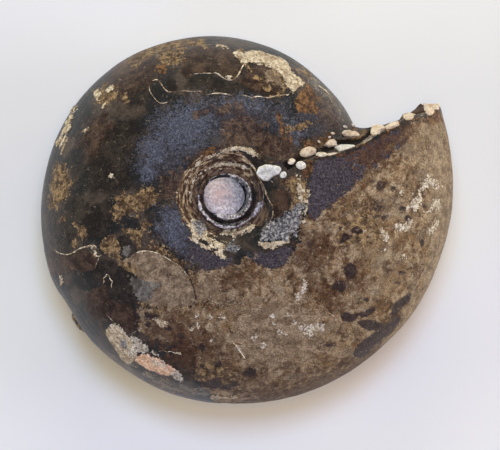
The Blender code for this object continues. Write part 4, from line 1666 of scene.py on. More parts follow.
    def _oval(self, ball: Piece, half_length: float, half_width: float, turn: float) -> Array:
        """Work out a ball's offsets in plan, once it is an oval and turned.

        Args:
            ball: the ball.
            half_length: half the oval's length.
            half_width: half its width.
            turn: how far it is turned, in degrees.

        Returns:
            The offsets, two to a row.
        """
        points = read_points(ball.data)
        along, across = points[:, 0] * half_length, points[:, 1] * half_width
        angle = math.radians(turn)
        x = along * math.cos(angle) - across * math.sin(angle)
        y = along * math.sin(angle) + across * math.cos(angle)
        return np.stack((x, y), axis=1)


@dataclass(frozen=True)
class ShellEdges:
    """The pale edges where the shell's thin layers have flaked off.

    Each line is a path and a width, in pixels of the picture.
    """

    lines: tuple[tuple[tuple[Pixel, ...], float], ...] = (
        (((186.5, 77.5), (190.8, 74.4), (201.7, 73.1), (212.5, 73.1)), 0.7),
        (((212.5, 73.1), (217, 72.8), (221.2, 76.4), (226.6, 80.2), (235.3, 79.7), (239.7, 72.1),
            (244, 63.4)), 1.5),
        (((180, 90.5), (186.5, 91), (194.1, 91.6), (201.7, 91)), 0.6),
        (((207, 94.8), (216.9, 92.7), (225.5, 93.8), (232, 95.4)), 0.9),
        (((240.7, 94.8), (247.2, 95.9), (251.6, 97.5), (254, 101)), 0.8),
        (((251.6, 97.5), (258, 95.9), (266.8, 98), (275.4, 95.9), (284.1, 94.8), (288.5, 94.8),
            (290.6, 91.6)), 1),
        (((152.6, 80.7), (155, 79.6), (158, 79.7), (161.2, 84), (164.5, 89.4), (168.8, 92.1),
            (176.4, 91.8)), 1.2),
        (((149.3, 85), (149.3, 90.5), (152.6, 95.9), (158, 102.4), (163.4, 103.5), (169.9, 101.3),
            (173.2, 98)), 0.8),
        (((53.9, 249.4), (57.1, 252.1), (62.5, 254.3), (68, 254.8), (73.4, 252.7), (77.7, 249.4)), 1.1),
        (((77.7, 249.4), (82, 247.8), (90.7, 245.6), (95, 245), (96.2, 249.4)), 1.6),
        (((90.7, 251.6), (95, 256), (99.4, 256.5), (102, 254.8)), 1.2),
        (((99.4, 257), (96.2, 264.6), (95, 269)), 0.8),
        (((134.1, 253.8), (142.8, 250.5), (152.6, 251.6), (162.3, 254.8), (169.9, 260.3), (179.7, 265.7),
            (184, 271), (189.4, 278)), 0.9),
        (((102.8, 283.8), (104.4, 281), (103, 278.2), (106.4, 276.2), (106.2, 273.6), (110, 276.4),
            (109.6, 279), (112.8, 281.4), (111.2, 284.6), (111.6, 288)), 0.9),
        (((249.5, 163), (253, 166.6), (256.6, 172), (259.3, 178.2), (262.9, 184.5), (265.5, 190.7),
            (267.3, 197), (270, 202.3), (272.7, 205.9)), 1.8),
        (((272.7, 205.9), (273.1, 212.1), (272.7, 216.6), (269.1, 222.9), (264.6, 226.4)), 0.8),
        (((259.3, 180.9), (262.9, 188), (263.8, 196), (262.9, 199.6)), 0.9),
        (((158.7, 351.4), (163, 350.2), (166.8, 352.4), (171, 351), (175, 353.6), (180.6, 352.4)), 0.8),
        (((317.7, 85), (324.2, 89.4), (329.7, 94.8), (334, 100.3)), 1.2),
        (((105.9, 313.4), (109, 317), (113.5, 322)), 0.6),
        (((130.9, 334), (142.8, 327.5)), 0.5),
        (((327.5, 311.8), (335, 317), (342.5, 322.2)), 0.7),
        (((233.3, 342.7), (240, 351), (246.7, 360.9)), 0.8),
        (((268.2, 178.6), (271.5, 181), (274.5, 184)), 1),
    )
    step_px: float = 0.8
    fewest_steps: int = 4
    roundings: int = 2
    corner_cut: float = 0.25
    wander: Unevenness = Unevenness(0.7 * MM, 9.1, 2)
    wander_aside: float = 0.06 * MM
    wander_width: float = 1.3
    thinnest: float = 0.15
    tip_share: float = 0.35
    tip_steps: float = 4.0
    sunk: float = 0.25
    sides: int = 2
    crease: float = 80.0

    def _samples(self, path: tuple[Pixel, ...]) -> list[Pixel]:
        """Walk along a path in even, small steps, rounding its corners.

        Args:
            path: the pixels that it joins.

        Returns:
            The pixels on the way.
        """
        points = np.array(path, float)
        for _ in range(self.roundings):
            cut = np.empty((2 * len(points) - 2, 2))
            cut[0::2] = mix(points[:-1], points[1:], self.corner_cut)
            cut[1::2] = mix(points[1:], points[:-1], self.corner_cut)
            points = np.concatenate((points[:1], cut, points[-1:]))
        length = np.concatenate(((0.0,), np.cumsum(np.hypot(*np.diff(points, axis=0).T))))
        walk = np.linspace(0.0, length[-1], max(self.fewest_steps, int(length[-1] / self.step_px)))
        return list(zip(np.interp(walk, length, points[:, 0]), np.interp(walk, length, points[:, 1])))

    def _add_line(self, curve: bpy.types.Curve, skin: Surface, path: tuple[Pixel, ...], width: float) -> None:
        """Add one edge to the curve that all of them share.

        Args:
            curve: the curve.
            skin: what the edge lies on.
            path: the pixels that it joins.
            width: how wide it is, in pixels.
        """
        samples = self._samples(path)
        spline = curve.splines.new("POLY")
        spline.points.add(len(samples) - 1)
        hits = [skin.under(pixel) for pixel in samples]
        jitter = self.wander.at(np.array([list(place) for place, _ in hits]))
        ends = np.minimum(np.arange(len(samples)), np.arange(len(samples))[::-1])
        taper = mix(self.tip_share, 1.0, smooth_step(0.0, self.tip_steps, ends))
        for point, (place, normal), shift, share in zip(spline.points, hits, jitter, taper):
            uneven = max(self.thinnest, 1.0 + self.wander_width * shift)
            radius = width * PICTURE.pixel / 2.0 * share * uneven
            aside = Vector((shift, -shift, 0.0)) * self.wander_aside
            point.co = (*(place + aside - normal * radius * self.sunk), 1.0)
            point.radius = radius

    def build(self, skin: Surface, material: Paint) -> Piece:
        """Model every edge as a bead sunk into the skin, joined in one piece.

        Args:
            skin: what the edges lie on.
            material: their finish.

        Returns:
            The edges.
        """
        curve = bpy.data.curves.new("flaked_edges", "CURVE")
        curve.dimensions = "3D"
        curve.bevel_depth = 1.0
        curve.bevel_resolution = self.sides
        curve.use_fill_caps = True
        for path, width in self.lines:
            self._add_line(curve, skin, path, width)
        deselect()
        piece = bpy.data.objects.new("flaked_edges", curve)
        bpy.context.scene.collection.objects.link(piece)
        piece.select_set(True)
        bpy.context.view_layer.objects.active = piece
        bpy.ops.object.convert(target="MESH")
        piece = bpy.context.object
        piece.data.name = "flaked_edges"
        finish_piece(piece, material, self.crease)
        return piece


class Nodes:
    """A short way of laying out the nodes of one tree."""

    def __init__(self, tree: Tree) -> None:
        """Start on a tree."""
        self.tree = tree

    def feed(self, socket: Socket, value: object) -> None:
        """Link a socket to another, or set its value; None leaves it as it is.

        Args:
            socket: the input to feed.
            value: a socket, a number or a colour.
        """
        if isinstance(value, Socket):
            self.tree.links.new(value, socket)
        elif value is not None:
            bare = socket.type == "RGBA" and len(value) == 3
            socket.default_value = (*value, 1.0) if bare else value

    def add(self, kind: str, *values: object, **settings: object) -> Node:
        """Add a node and set it up.

        Args:
            kind: its type, without the words that all shader nodes start with.
            values: what feeds its inputs, from the first one on.
            settings: its properties.

        Returns:
            The node.
        """
        node = self.tree.nodes.new(kind if kind.startswith("Node") else "ShaderNode" + kind)
        for key, value in settings.items():
            setattr(node, key, value)
        for socket, value in zip(node.inputs, values):
            self.feed(socket, value)
        return node

    def fill(self, node: Node, **values: object) -> Node:
        """Feed a node's inputs by name.

        Args:
            node: the node.
            values: what feeds each; an underscore in a name stands for a space.

        Returns:
            The node.
        """
        for key, value in values.items():
            self.feed(node.inputs[key.replace("_", " ")], value)
        return node

    def group(self, tree: Tree, **values: object) -> Node:
        """Place a node group and feed its inputs by name."""
        return self.fill(self.add("Group", node_tree=tree), **values)

    def noise(self, place: Socket, size: float, detail: float = 2.0, rough: float = 0.5,
              warp: float = 0.0) -> Socket:
        """Add noise.

        Args:
            place: where it is looked up.
            size: how large its blotches are, in metres.
            detail: how many finer layers it has.
            rough: how much the finer layers count.
            warp: how much it curls.

        Returns:
            Its height, from 0 to 1.
        """
        node = self.add("TexNoise")
        self.fill(node, Vector=place, Scale=1.0 / size, Detail=detail, Roughness=rough, Distortion=warp)
        return node.outputs["Fac"]

    def pattern(self, place: Socket, size: float, detail: float, rough: float, warp: float) -> Socket:
        """Add noise that is stretched to use the whole range from 0 to 1."""
        return self.ease(self.noise(place, size, detail, rough, warp), 0.33, 0.67)

    def sum(self, operation: str, a: object, b: object = 0.0, c: object = 0.0) -> Socket:
        """Do one sum on two or three numbers."""
        return self.add("Math", a, b, c, operation=operation).outputs[0]

    def times(self, a: object, b: object) -> Socket:
        """Multiply two numbers."""
        return self.sum("MULTIPLY", a, b)

    def ease(self, value: object, low: float, high: float, start: float = 0.0, end: float = 1.0) -> Socket:
        """Ease a number from start, where it is low, to end, where it is high."""
        return self.add("MapRange", value, low, high, start, end, interpolation_type="SMOOTHSTEP").outputs[0]

    def blend(self, share: object, a: object, b: object, kind: str = "MIX") -> Socket:
        """Blend one colour into another."""
        node = self.add("Mix", share, None, None, None, None, None, a, b, data_type="RGBA", blend_type=kind)
        return node.outputs[2]

    def level(self, share: object, a: object, b: object) -> Socket:
        """Blend one number into another."""
        return self.add("Mix", share, None, a, b, data_type="FLOAT").outputs[0]

    def stored(self, name: str) -> Socket:
        """Read a number that is stored on the piece's points."""
        return self.add("Attribute", attribute_name=name).outputs["Fac"]

    def ramp(self, value: object, stops: Stops) -> Socket:
        """Turn a number into a colour.

        Args:
            value: the number.
            stops: where each colour lies, from 0 to 1, and its red, green and blue.

        Returns:
            The colour.
        """
        node = self.add("ValToRGB", value)
        elements = node.color_ramp.elements
        for _ in stops[2:]:
            elements.new(0.5)
        for element, (position, *shade) in zip(elements, stops):
            element.position = position
            element.color = (*tone(*shade), 1.0)
        return node.outputs[0]


class Groups:
    """The effects that several finishes use, each built once as a node group."""

    COLOURS = dict.fromkeys(("Below", "Colour", "Speck", "Pit"), "NodeSocketColor")
    KINDS = {"Place": "NodeSocketVector"} | COLOURS

    def __init__(self) -> None:
        """Build the groups."""
        self.grain = self._grain()
        self.streaks = self._streaks()
        self.coat = self._coat()
        self.grime = self._grime()

    def _start(self, name: str, inputs: str, outputs: str) -> tuple[Nodes, dict[str, Socket], Node]:
        """Start a group with named inputs and outputs.

        Args:
            name: the group's name.
            inputs: the names of what goes in.
            outputs: the names of what comes out.

        Returns:
            Its node desk, what comes in by name, and its output node.
        """
        desk = Nodes(bpy.data.node_groups.new(name, "ShaderNodeTree"))
        for direction, labels in (("INPUT", inputs), ("OUTPUT", outputs)):
            for label in labels.split(", "):
                kind = self.KINDS.get(label, "NodeSocketFloat")
                desk.tree.interface.new_socket(label, in_out=direction, socket_type=kind)
        return desk, desk.add("NodeGroupInput").outputs, desk.add("NodeGroupOutput")

    def _grain(self) -> Tree:
        """Stone grain at four scales, from clouds down to single specks.

        Returns:
            The group.
        """
        desk, come, go = self._start(
            "Stone grain", "Place, Coarseness", "Clouds, Grains, Fine, Specks, Pits, Scratches")
        place = desk.add("VectorMath", come["Place"], come["Coarseness"], operation="DIVIDE").outputs[0]
        patchy = desk.noise(place, 2.4 * MM)
        curls = desk.sum("ABSOLUTE", desk.sum("SUBTRACT", desk.noise(place, 1.7 * MM, 2.0, 0.6, 0.8), 0.5))
        specks = desk.ease(desk.noise(place, 0.42 * MM, 2.0, 0.5, 0.5), 0.69, 0.76)
        pits = desk.ease(desk.noise(place, 0.62 * MM, 3.0, 0.6, 0.7), 0.62, 0.68)
        parted = desk.ease(desk.noise(place, 1.1 * MM, 1.0), 0.56, 0.66)
        desk.fill(
            go, Clouds=desk.pattern(place, 3.2 * MM, 5.0, 0.68, 0.4),
            Grains=desk.pattern(place, 0.9 * MM, 4.0, 0.72, 0.3),
            Fine=desk.ease(desk.noise(place, 0.30 * MM, 1.0), 0.28, 0.72),
            Specks=desk.times(specks, desk.ease(patchy, 0.46, 0.62)),
            Pits=desk.times(pits, desk.ease(patchy, 0.58, 0.44)),
            Scratches=desk.times(desk.ease(curls, 0.012, 0.004), parted))
        return desk.tree

    def _streaks(self) -> Tree:
        """Streaks that run round the coil's axis, like the whorls' worn layers.

        Returns:
            The group.
        """
        desk, come, go = self._start("Coil streaks", "Place, Width, Waves", "Streaks")
        apart = desk.add("SeparateXYZ", come["Place"]).outputs
        dx = desk.sum("SUBTRACT", apart["X"], COIL.axis_x)
        dy = desk.sum("SUBTRACT", apart["Y"], COIL.axis_y)
        flat = desk.add("CombineXYZ", dx, dy).outputs[0]
        reach = desk.add("VectorMath", flat, operation="LENGTH").outputs["Value"]
        way = desk.add("VectorMath", flat, operation="NORMALIZE").outputs[0]
        wavy = desk.fill(desk.add("VectorMath", way, operation="SCALE"), Scale=come["Waves"]).outputs[0]
        split = desk.add("SeparateXYZ", wavy).outputs
        bent = desk.add("CombineXYZ", split["X"], split["Y"], desk.sum("DIVIDE", reach, come["Width"]))
        desk.fill(go, Streaks=desk.pattern(bent.outputs[0], 1.0, 4.0, 0.62, 0.3))
        return desk.tree

    def _coat(self) -> Tree:
        """One layer of finish over another, with a frayed edge and holes.

        Returns:
            The group.
        """
        desk, come, go = self._start(
            "Layer of finish", "Below, Below roughness, Cover, Fine, Fray, Grains, Holes, Colour, Roughness, "
            "Strength", "Colour, Roughness, Mask")
        frayed = come["Cover"]
        for noise, amount in (("Fine", "Fray"), ("Grains", "Holes")):
            swing = desk.sum("SUBTRACT", come[noise], 0.5)
            frayed = desk.sum("MULTIPLY_ADD", swing, come[amount], frayed)
        mask = desk.times(desk.ease(frayed, -0.45, 0.45), come["Strength"])
        desk.fill(go, Colour=desk.blend(mask, come["Below"], come["Colour"]), Mask=mask,
                  Roughness=desk.level(mask, come["Below roughness"], come["Roughness"]))
        return desk.tree

    def _grime(self) -> Tree:
        """Fine light and dark grain over a colour, with pale specks and dark pits.

        Returns:
            The group.
        """
        desk, come, go = self._start("Grime", "Colour, Fine, Contrast, Specks, Speck, Pits, Pit", "Colour")
        swing = desk.sum("MULTIPLY_ADD", desk.sum("SUBTRACT", come["Fine"], 0.5), come["Contrast"], 1.0)
        grey = desk.add("CombineColor", swing, swing, swing).outputs[0]
        colour = desk.blend(1.0, come["Colour"], grey, "MULTIPLY")
        colour = desk.blend(come["Pits"], colour, come["Pit"])
        desk.fill(go, Colour=desk.blend(come["Specks"], colour, come["Speck"]))
        return desk.tree


class Material(Nodes):
    """A material on its node desk, with its place on the piece and its shader."""

    def __init__(self, name: str, groups: Groups | None = None, coarseness: float = 1.0) -> None:
        """Start the material.

        Args:
            name: its name.
            groups: the shared effects, if it is a stone.
            coarseness: how coarse the stone's grain is.
        """
        self.data = bpy.data.materials.new(name)
        self.data.use_nodes = True
        super().__init__(self.data.node_tree)
        self.shader = self.tree.nodes["Principled BSDF"]
        self.place = self.add("TexCoord").outputs["Object"]
        if groups:
            self.grain = self.group(groups.grain, Place=self.place, Coarseness=coarseness).outputs

    def done(self, colour: Socket, roughness: object, height: Socket | None = None,
             depth: float = 0.0, strength: float = 0.5) -> Paint:
        """Feed the shader.

        Args:
            colour: the base colour.
            roughness: how rough the surface is.
            height: the fine relief, if any.
            depth: how high the relief is, in metres.
            strength: how strongly the relief shows.

        Returns:
            The material.
        """
        self.fill(self.shader, Base_Color=colour, Roughness=roughness)
        if height:
            bump = self.fill(self.add("Bump"), Height=height, Distance=depth, Strength=strength)
            self.fill(self.shader, Normal=bump.outputs["Normal"])
        return self.data


@dataclass(frozen=True)
class Finish:
    """One layer's tones, how rough it is and how its edge frays.

    The stops give tones by how high the pattern is, from 0 to 1, and size is
    how large the pattern's blotches are.
    """

    layer: Layer
    stops: Stops
    roughness: float
    size: float = 1.2 * MM
    fray: float = 1.0
    holes: float = 1.2
    strength: float = 1.0
    streaked: bool = False


FINISHES = (
    Finish(Layer.BLACK, ((0.2, 34, 30, 27), (0.8, 53, 46, 40)), 0.42, 2.4 * MM),
    Finish(Layer.BROWN, ((0.15, 41, 29, 23), (0.5, 55, 41, 33), (0.88, 75, 58, 46)), 0.44, 2.6 * MM),
    # painted sheen tones: a bluish grey that stands for a reflection, not the shell's own colour
    Finish(Layer.PAINTED_SHEEN, ((0.12, 45, 41, 43), (0.5, 55, 54, 60), (0.88, 68, 69, 78)), 0.44, 0.35 * MM, 0.5,
        0.6, 0.85),
    # painted highlight tones, up to a bluish white for the glints
    Finish(Layer.PAINTED_HIGHLIGHT, ((0.1, 76, 78, 88), (0.5, 88, 92, 106), (0.85, 104, 110, 127), (1, 136, 146, 166)),
        0.5, 0.4 * MM, 0.4, 0.6, 0.5),
    Finish(Layer.UMBER, ((0.15, 48, 36, 32), (0.5, 69, 54, 47), (0.88, 98, 78, 62)), 0.55, 1.2 * MM, 1.4, 3,
        0.8),
    Finish(Layer.VIOLET, ((0.12, 48, 41, 43), (0.5, 62, 56, 62), (0.88, 84, 78, 83)), 0.6, 0.35 * MM, 0.8,
        0.8),
    Finish(Layer.MOULD, ((0.12, 70, 51, 37), (0.36, 108, 85, 62), (0.58, 128, 105, 81),
        (0.88, 158, 138, 111)), 0.68, 1.9 * MM, 0.8, 0.8),
    Finish(Layer.STAIN, ((0.2, 56, 34, 23), (0.7, 86, 60, 42)), 0.65, 1.0 * MM, 1.5, 4, 0.75),
    Finish(Layer.FILM, ((0.12, 104, 86, 68), (0.5, 129, 110, 89), (0.88, 156, 136, 112)), 0.6, 1.6 * MM, 1,
        1, 0.85),
    Finish(Layer.OCHRE, ((0.12, 60, 45, 33), (0.5, 102, 82, 59), (0.88, 146, 121, 86)), 0.66, 1.2 * MM, 1.2,
        2.4, 0.95),
    # grey stone tones, also used for the painted rim highlight
    Finish(Layer.SLATE_AND_RIM_HIGHLIGHT, ((0.15, 80, 74, 66), (0.85, 122, 117, 110)), 0.55, 2.2 * MM, 1, 1, 0.85),
    Finish(Layer.RUST, ((0.15, 58, 41, 29), (0.5, 96, 67, 42), (0.88, 130, 95, 60)), 0.66, 1.0 * MM, 1.2,
        1.8, 0.9),
    Finish(Layer.STREAK, ((0.15, 54, 38, 30), (0.45, 92, 71, 54), (0.70, 122, 101, 79),
        (0.92, 174, 155, 127)), 0.68, 0.4 * MM, streaked=True),
    Finish(Layer.TROUGH, ((0.2, 62, 47, 40), (0.7, 112, 91, 75)), 0.6, 0.35 * MM, 1, 1, 0.85, True),
    Finish(Layer.BLOT, ((0.2, 38, 26, 26), (0.8, 60, 48, 46)), 0.58, 0.9 * MM, 1.2, 1.4, 0.95),
    Finish(Layer.CRUST, ((0.10, 136, 117, 95), (0.40, 166, 149, 124), (0.65, 185, 170, 146),
        (0.90, 206, 194, 171)), 0.8, 0.9 * MM, 1.2, 1.3),
    Finish(Layer.ASH, ((0.2, 68, 67, 71), (0.5, 105, 103, 104), (0.72, 138, 135, 133),
        (0.95, 188, 184, 178)), 0.72, 0.42 * MM, 1.4, 1.6, 0.95),
    Finish(Layer.PEACH, ((0.12, 184, 143, 113), (0.5, 208, 170, 140), (0.88, 225, 195, 166)), 0.75,
        1.1 * MM, 1.2, 1.2),
    Finish(Layer.FLECK, ((0.2, 142, 125, 104), (0.75, 216, 207, 193)), 0.62, 0.45 * MM, 1.6, 3, 0.8),
    # painted shade tones, near-black
    Finish(Layer.PAINTED_CREVICE_SHADE, ((0.2, 10, 8, 8), (0.8, 30, 25, 23)), 0.8, 0.8 * MM, 1, 0.8, 0.97),
    Finish(Layer.WHITE, ((0.1, 84, 74, 76), (0.4, 152, 144, 150), (0.8, 216, 212, 212)), 0.5, 0.45 * MM, 1,
        1.4),
)


@dataclass(frozen=True)
class Skin:
    """The weathered surface of the shell: every layer over dark, replaced shell, with a painted sheen,
    painted highlights, a painted rim highlight and painted crevice shade among them.

    Each mottle of the mould has a size, the noise from which and to which it
    sets in, a colour and a strength. The pairs of specks, scratches and grit
    say how much of them shows off the mould and on it. As in the other
    finishes, roughness runs from its first value to its second with the grain.
    """

    bare: Stops = ((0.12, 34, 34, 33), (0.45, 43, 41, 40), (0.65, 53, 46, 41), (0.90, 72, 62, 54))
    bare_size: float = 5.5 * MM
    bare_roughness: tuple[float, float] = (0.36, 0.52)
    streak_width: float = 0.42 * MM
    streak_waves: float = 5.0
    mottles: tuple[tuple[float, float, float, Colour, float], ...] = (
        (6.5 * MM, 0.46, 0.62, tone(126, 112, 94), 0.5),
        (4.2 * MM, 0.50, 0.62, tone(130, 100, 64), 0.4),
        (2.8 * MM, 0.54, 0.64, tone(88, 61, 43), 0.5),
        (1.4 * MM, 0.57, 0.64, tone(160, 147, 126), 0.6),
        (0.8 * MM, 0.60, 0.66, tone(66, 46, 34), 0.6),
    )
    speck: Colour = tone(176, 158, 126)
    specks: tuple[float, float] = (0.45, 0.9)
    pit: Colour = tone(40, 27, 18)
    pits: float = 0.8
    contrast: float = 0.6
    scratch: Colour = tone(196, 178, 150)
    scratches: tuple[float, float] = (0.25, 0.5)
    gloss: float = 0.5
    grit: tuple[float, float] = (0.35, 1.0)
    bump_depth: float = 0.09 * MM
    bump_strength: float = 0.6

    def material(self, groups: Groups) -> Paint:
        """Lay out the finish.

        Args:
            groups: the shared effects.

        Returns:
            The material.
        """
        desk = Material("weathered_shell", groups)
        grain = desk.grain
        worn = desk.group(groups.streaks, Place=desk.place, Width=self.streak_width, Waves=self.streak_waves)
        streaks = worn.outputs["Streaks"]
        clouds = desk.ease(desk.noise(desk.place, self.bare_size, 4.0, 0.58, 0.3), 0.34, 0.66)
        colour = desk.ramp(clouds, self.bare)
        roughness = desk.ease(grain["Fine"], 0.0, 1.0, *self.bare_roughness)
        patterns, masks = {}, {}
        for finish in FINISHES:
            if finish.size not in patterns:
                patterns[finish.size] = desk.pattern(desk.place, finish.size, 5.0, 0.72, 0.3)
            pattern = streaks if finish.streaked else patterns[finish.size]
            coat = desk.group(
                groups.coat, Below=colour, Below_roughness=roughness, Cover=desk.stored(finish.layer.value),
                Fine=grain["Fine"], Fray=finish.fray, Grains=grain["Grains"], Holes=finish.holes,
                Colour=desk.ramp(pattern, finish.stops), Roughness=finish.roughness, Strength=finish.strength)
            colour, roughness = coat.outputs["Colour"], coat.outputs["Roughness"]
            masks[finish.layer] = coat.outputs["Mask"]
            if finish.layer is Layer.MOULD:
                for size, low, high, shade, strength in self.mottles:
                    patch = desk.ease(desk.noise(desk.place, size, 5.0, 0.7, 0.4), low, high)
                    patch = desk.times(masks[Layer.MOULD], desk.times(patch, strength))
                    colour = desk.blend(patch, colour, shade)
        mould = masks[Layer.MOULD]
        grime = desk.group(
            groups.grime, Colour=colour, Fine=grain["Fine"], Contrast=self.contrast,
            Specks=desk.times(grain["Specks"], desk.level(mould, *self.specks)), Speck=self.speck,
            Pits=desk.times(grain["Pits"], desk.times(mould, self.pits)), Pit=self.pit)
        height = desk.times(grain["Fine"], desk.level(mould, *self.grit))
        for mask in (mould, masks[Layer.CRUST]):
            height = desk.sum("MULTIPLY_ADD", mask, grain["Grains"], height)
        scored = desk.times(grain["Scratches"], desk.level(mould, *self.scratches))
        colour = desk.blend(scored, grime.outputs["Colour"], self.scratch)
        desk.fill(desk.shader, Specular_IOR_Level=self.gloss)
        return desk.done(colour, roughness, height, self.bump_depth, self.bump_strength)


@dataclass(frozen=True)
class Calcite:
    """Pale calcite, cream to white, stained brown in its hollows."""

    cream: Stops = ((0.1, 190, 160, 128), (0.35, 212, 188, 160), (0.85, 226, 208, 184))
    chalk: Stops = ((0.1, 190, 187, 181), (0.45, 213, 210, 205), (0.85, 234, 232, 228))
    stain: Colour = tone(120, 82, 48)
    stains: float = 0.3
    contrast: float = 0.12
    coarseness: float = 0.7
    roughness: tuple[float, float] = (0.45, 0.65)
    bump_depth: float = 0.10 * MM

    def material(self, groups: Groups) -> Paint:
        """Lay out the finish.

        Args:
            groups: the shared effects.

        Returns:
            The material.
        """
        desk = Material("calcite", groups, self.coarseness)
        grain = desk.grain
        cream, chalk = desk.ramp(grain["Grains"], self.cream), desk.ramp(grain["Grains"], self.chalk)
        grime = desk.group(
            groups.grime, Colour=desk.blend(desk.stored("white"), cream, chalk), Fine=grain["Fine"],
            Contrast=self.contrast, Specks=0.0, Pits=desk.times(grain["Pits"], self.stains), Pit=self.stain)
        rough = desk.ease(grain["Fine"], 0.0, 1.0, *self.roughness)
        height = desk.sum("ADD", grain["Grains"], grain["Fine"])
        return desk.done(grime.outputs["Colour"], rough, height, self.bump_depth)


@dataclass(frozen=True)
class PlugFinish:
    """Pinkish-white calcite with fine dark specks, bluer to one side.

    The pairs in which blue, chalk and blush set in are shares of its reach,
    from its middle.
    """

    rose: Stops = ((0.15, 172, 157, 157), (0.5, 194, 179, 179), (0.85, 210, 197, 196))
    blue: Stops = ((0.15, 116, 116, 124), (0.5, 144, 144, 152), (0.85, 170, 168, 174))
    blush: Colour = tone(198, 158, 140)
    speck: Colour = tone(96, 82, 92)
    chalk: Colour = tone(232, 228, 226)
    slant: float = 0.3
    middle_x: float = -4.0 * MM
    middle_y: float = 4.6 * MM
    reach: float = 3.6 * MM
    blue_from_to: tuple[float, float] = (-0.4, 0.85)
    chalk_from_to: tuple[float, float] = (-0.35, -0.8)
    blush_from_to: tuple[float, float] = (0.7, 0.15)
    blush_share: float = 0.6
    specks: float = 0.45
    contrast: float = 0.3
    coarseness: float = 0.55
    roughness: tuple[float, float] = (0.5, 0.66)
    bump_depth: float = 0.06 * MM

    def material(self, groups: Groups) -> Paint:
        """Lay out the finish.

        Args:
            groups: the shared effects.

        Returns:
            The material.
        """
        desk = Material("plug_calcite", groups, self.coarseness)
        grain = desk.grain
        apart = desk.add("SeparateXYZ", desk.place).outputs
        right = desk.sum("MULTIPLY_ADD", apart["Y"], self.slant, apart["X"])
        start = self.middle_x + self.slant * self.middle_y
        right = desk.ease(right, *(start + share * self.reach for share in self.blue_from_to))
        rose, blue = desk.ramp(grain["Grains"], self.rose), desk.ramp(grain["Grains"], self.blue)
        colour = desk.blend(right, rose, blue)
        low = desk.ease(apart["Y"], *(self.middle_y + share * self.reach for share in self.chalk_from_to))
        colour = desk.blend(desk.times(low, grain["Grains"]), colour, self.chalk)
        flat = desk.add("CombineXYZ", apart["X"], apart["Y"]).outputs[0]
        away = desk.add("VectorMath", flat, (self.middle_x, self.middle_y, 0.0), operation="DISTANCE")
        warm = desk.ease(away.outputs["Value"], *(share * self.reach for share in self.blush_from_to))
        blushing = desk.times(desk.times(warm, grain["Clouds"]), self.blush_share)
        colour = desk.blend(blushing, colour, self.blush)
        grime = desk.group(
            groups.grime, Colour=colour, Fine=grain["Fine"], Contrast=self.contrast,
            Specks=desk.times(grain["Specks"], self.specks), Speck=self.speck, Pits=0.0)
        rough = desk.ease(grain["Fine"], 0.0, 1.0, *self.roughness)
        return desk.done(grime.outputs["Colour"], rough, grain["Fine"], self.bump_depth)


@dataclass(frozen=True)
class EdgeFinish:
    """The pale, thin broken edge of a layer of shell."""

    stops: Stops = ((0.15, 70, 54, 40), (0.42, 136, 114, 90), (0.75, 222, 208, 184))
    contrast: float = 0.4
    coarseness: float = 0.8
    roughness: tuple[float, float] = (0.55, 0.7)

    def material(self, groups: Groups) -> Paint:
        """Lay out the finish.

        Args:
            groups: the shared effects.

        Returns:
            The material.
        """
        desk = Material("flaked_edge", groups, self.coarseness)
        grain = desk.grain
        colour = desk.ramp(desk.level(0.5, grain["Grains"], grain["Clouds"]), self.stops)
        grime = desk.group(
            groups.grime, Colour=colour, Fine=grain["Fine"], Contrast=self.contrast, Specks=0.0, Pits=0.0)
        return desk.done(grime.outputs["Colour"], desk.ease(grain["Fine"], 0.0, 1.0, *self.roughness))


class Tint(Enum):
    """Colours of the studio's lights."""

    AMBER = (1.0, 0.65, 0.05)
    LILAC = (0.8, 0.65, 1.0)
    COOL = (0.4, 0.65, 1.0)
    BLUE = (0.2, 0.2, 1.0)
    CREAM = (1.0, 0.95, 0.65)


@dataclass(frozen=True)
class Softbox:
    """One square soft light that faces the fossil.

    Its azimuth is in degrees from +X, its zenith in degrees from straight up,
    and strength is how much light it lays on the paper. It leaves no highlight.
    """

    name: str
    azimuth: float
    zenith: float
    size: float
    tint: Tint
    strength: float
    distance: float = 0.90

    def build(self) -> None:
        """Hang the light."""
        around, down = math.radians(self.azimuth), math.radians(self.zenith)
        way = Vector((math.sin(down) * math.cos(around), math.sin(down) * math.sin(around), math.cos(down)))
        light = added(bpy.ops.object.light_add, self.name, type="AREA", location=way * self.distance)
        light.data.shape = "SQUARE"
        light.data.size = self.size
        light.data.energy = self.strength * (math.pi * self.distance) ** 2 / math.cos(down)
        light.data.color = self.tint.value
        light.rotation_euler = way.to_track_quat("Z", "Y").to_euler()
        # no light shows in reflections; the shell's sheen and highlights are painted into its colour instead
        light.visible_glossy = False


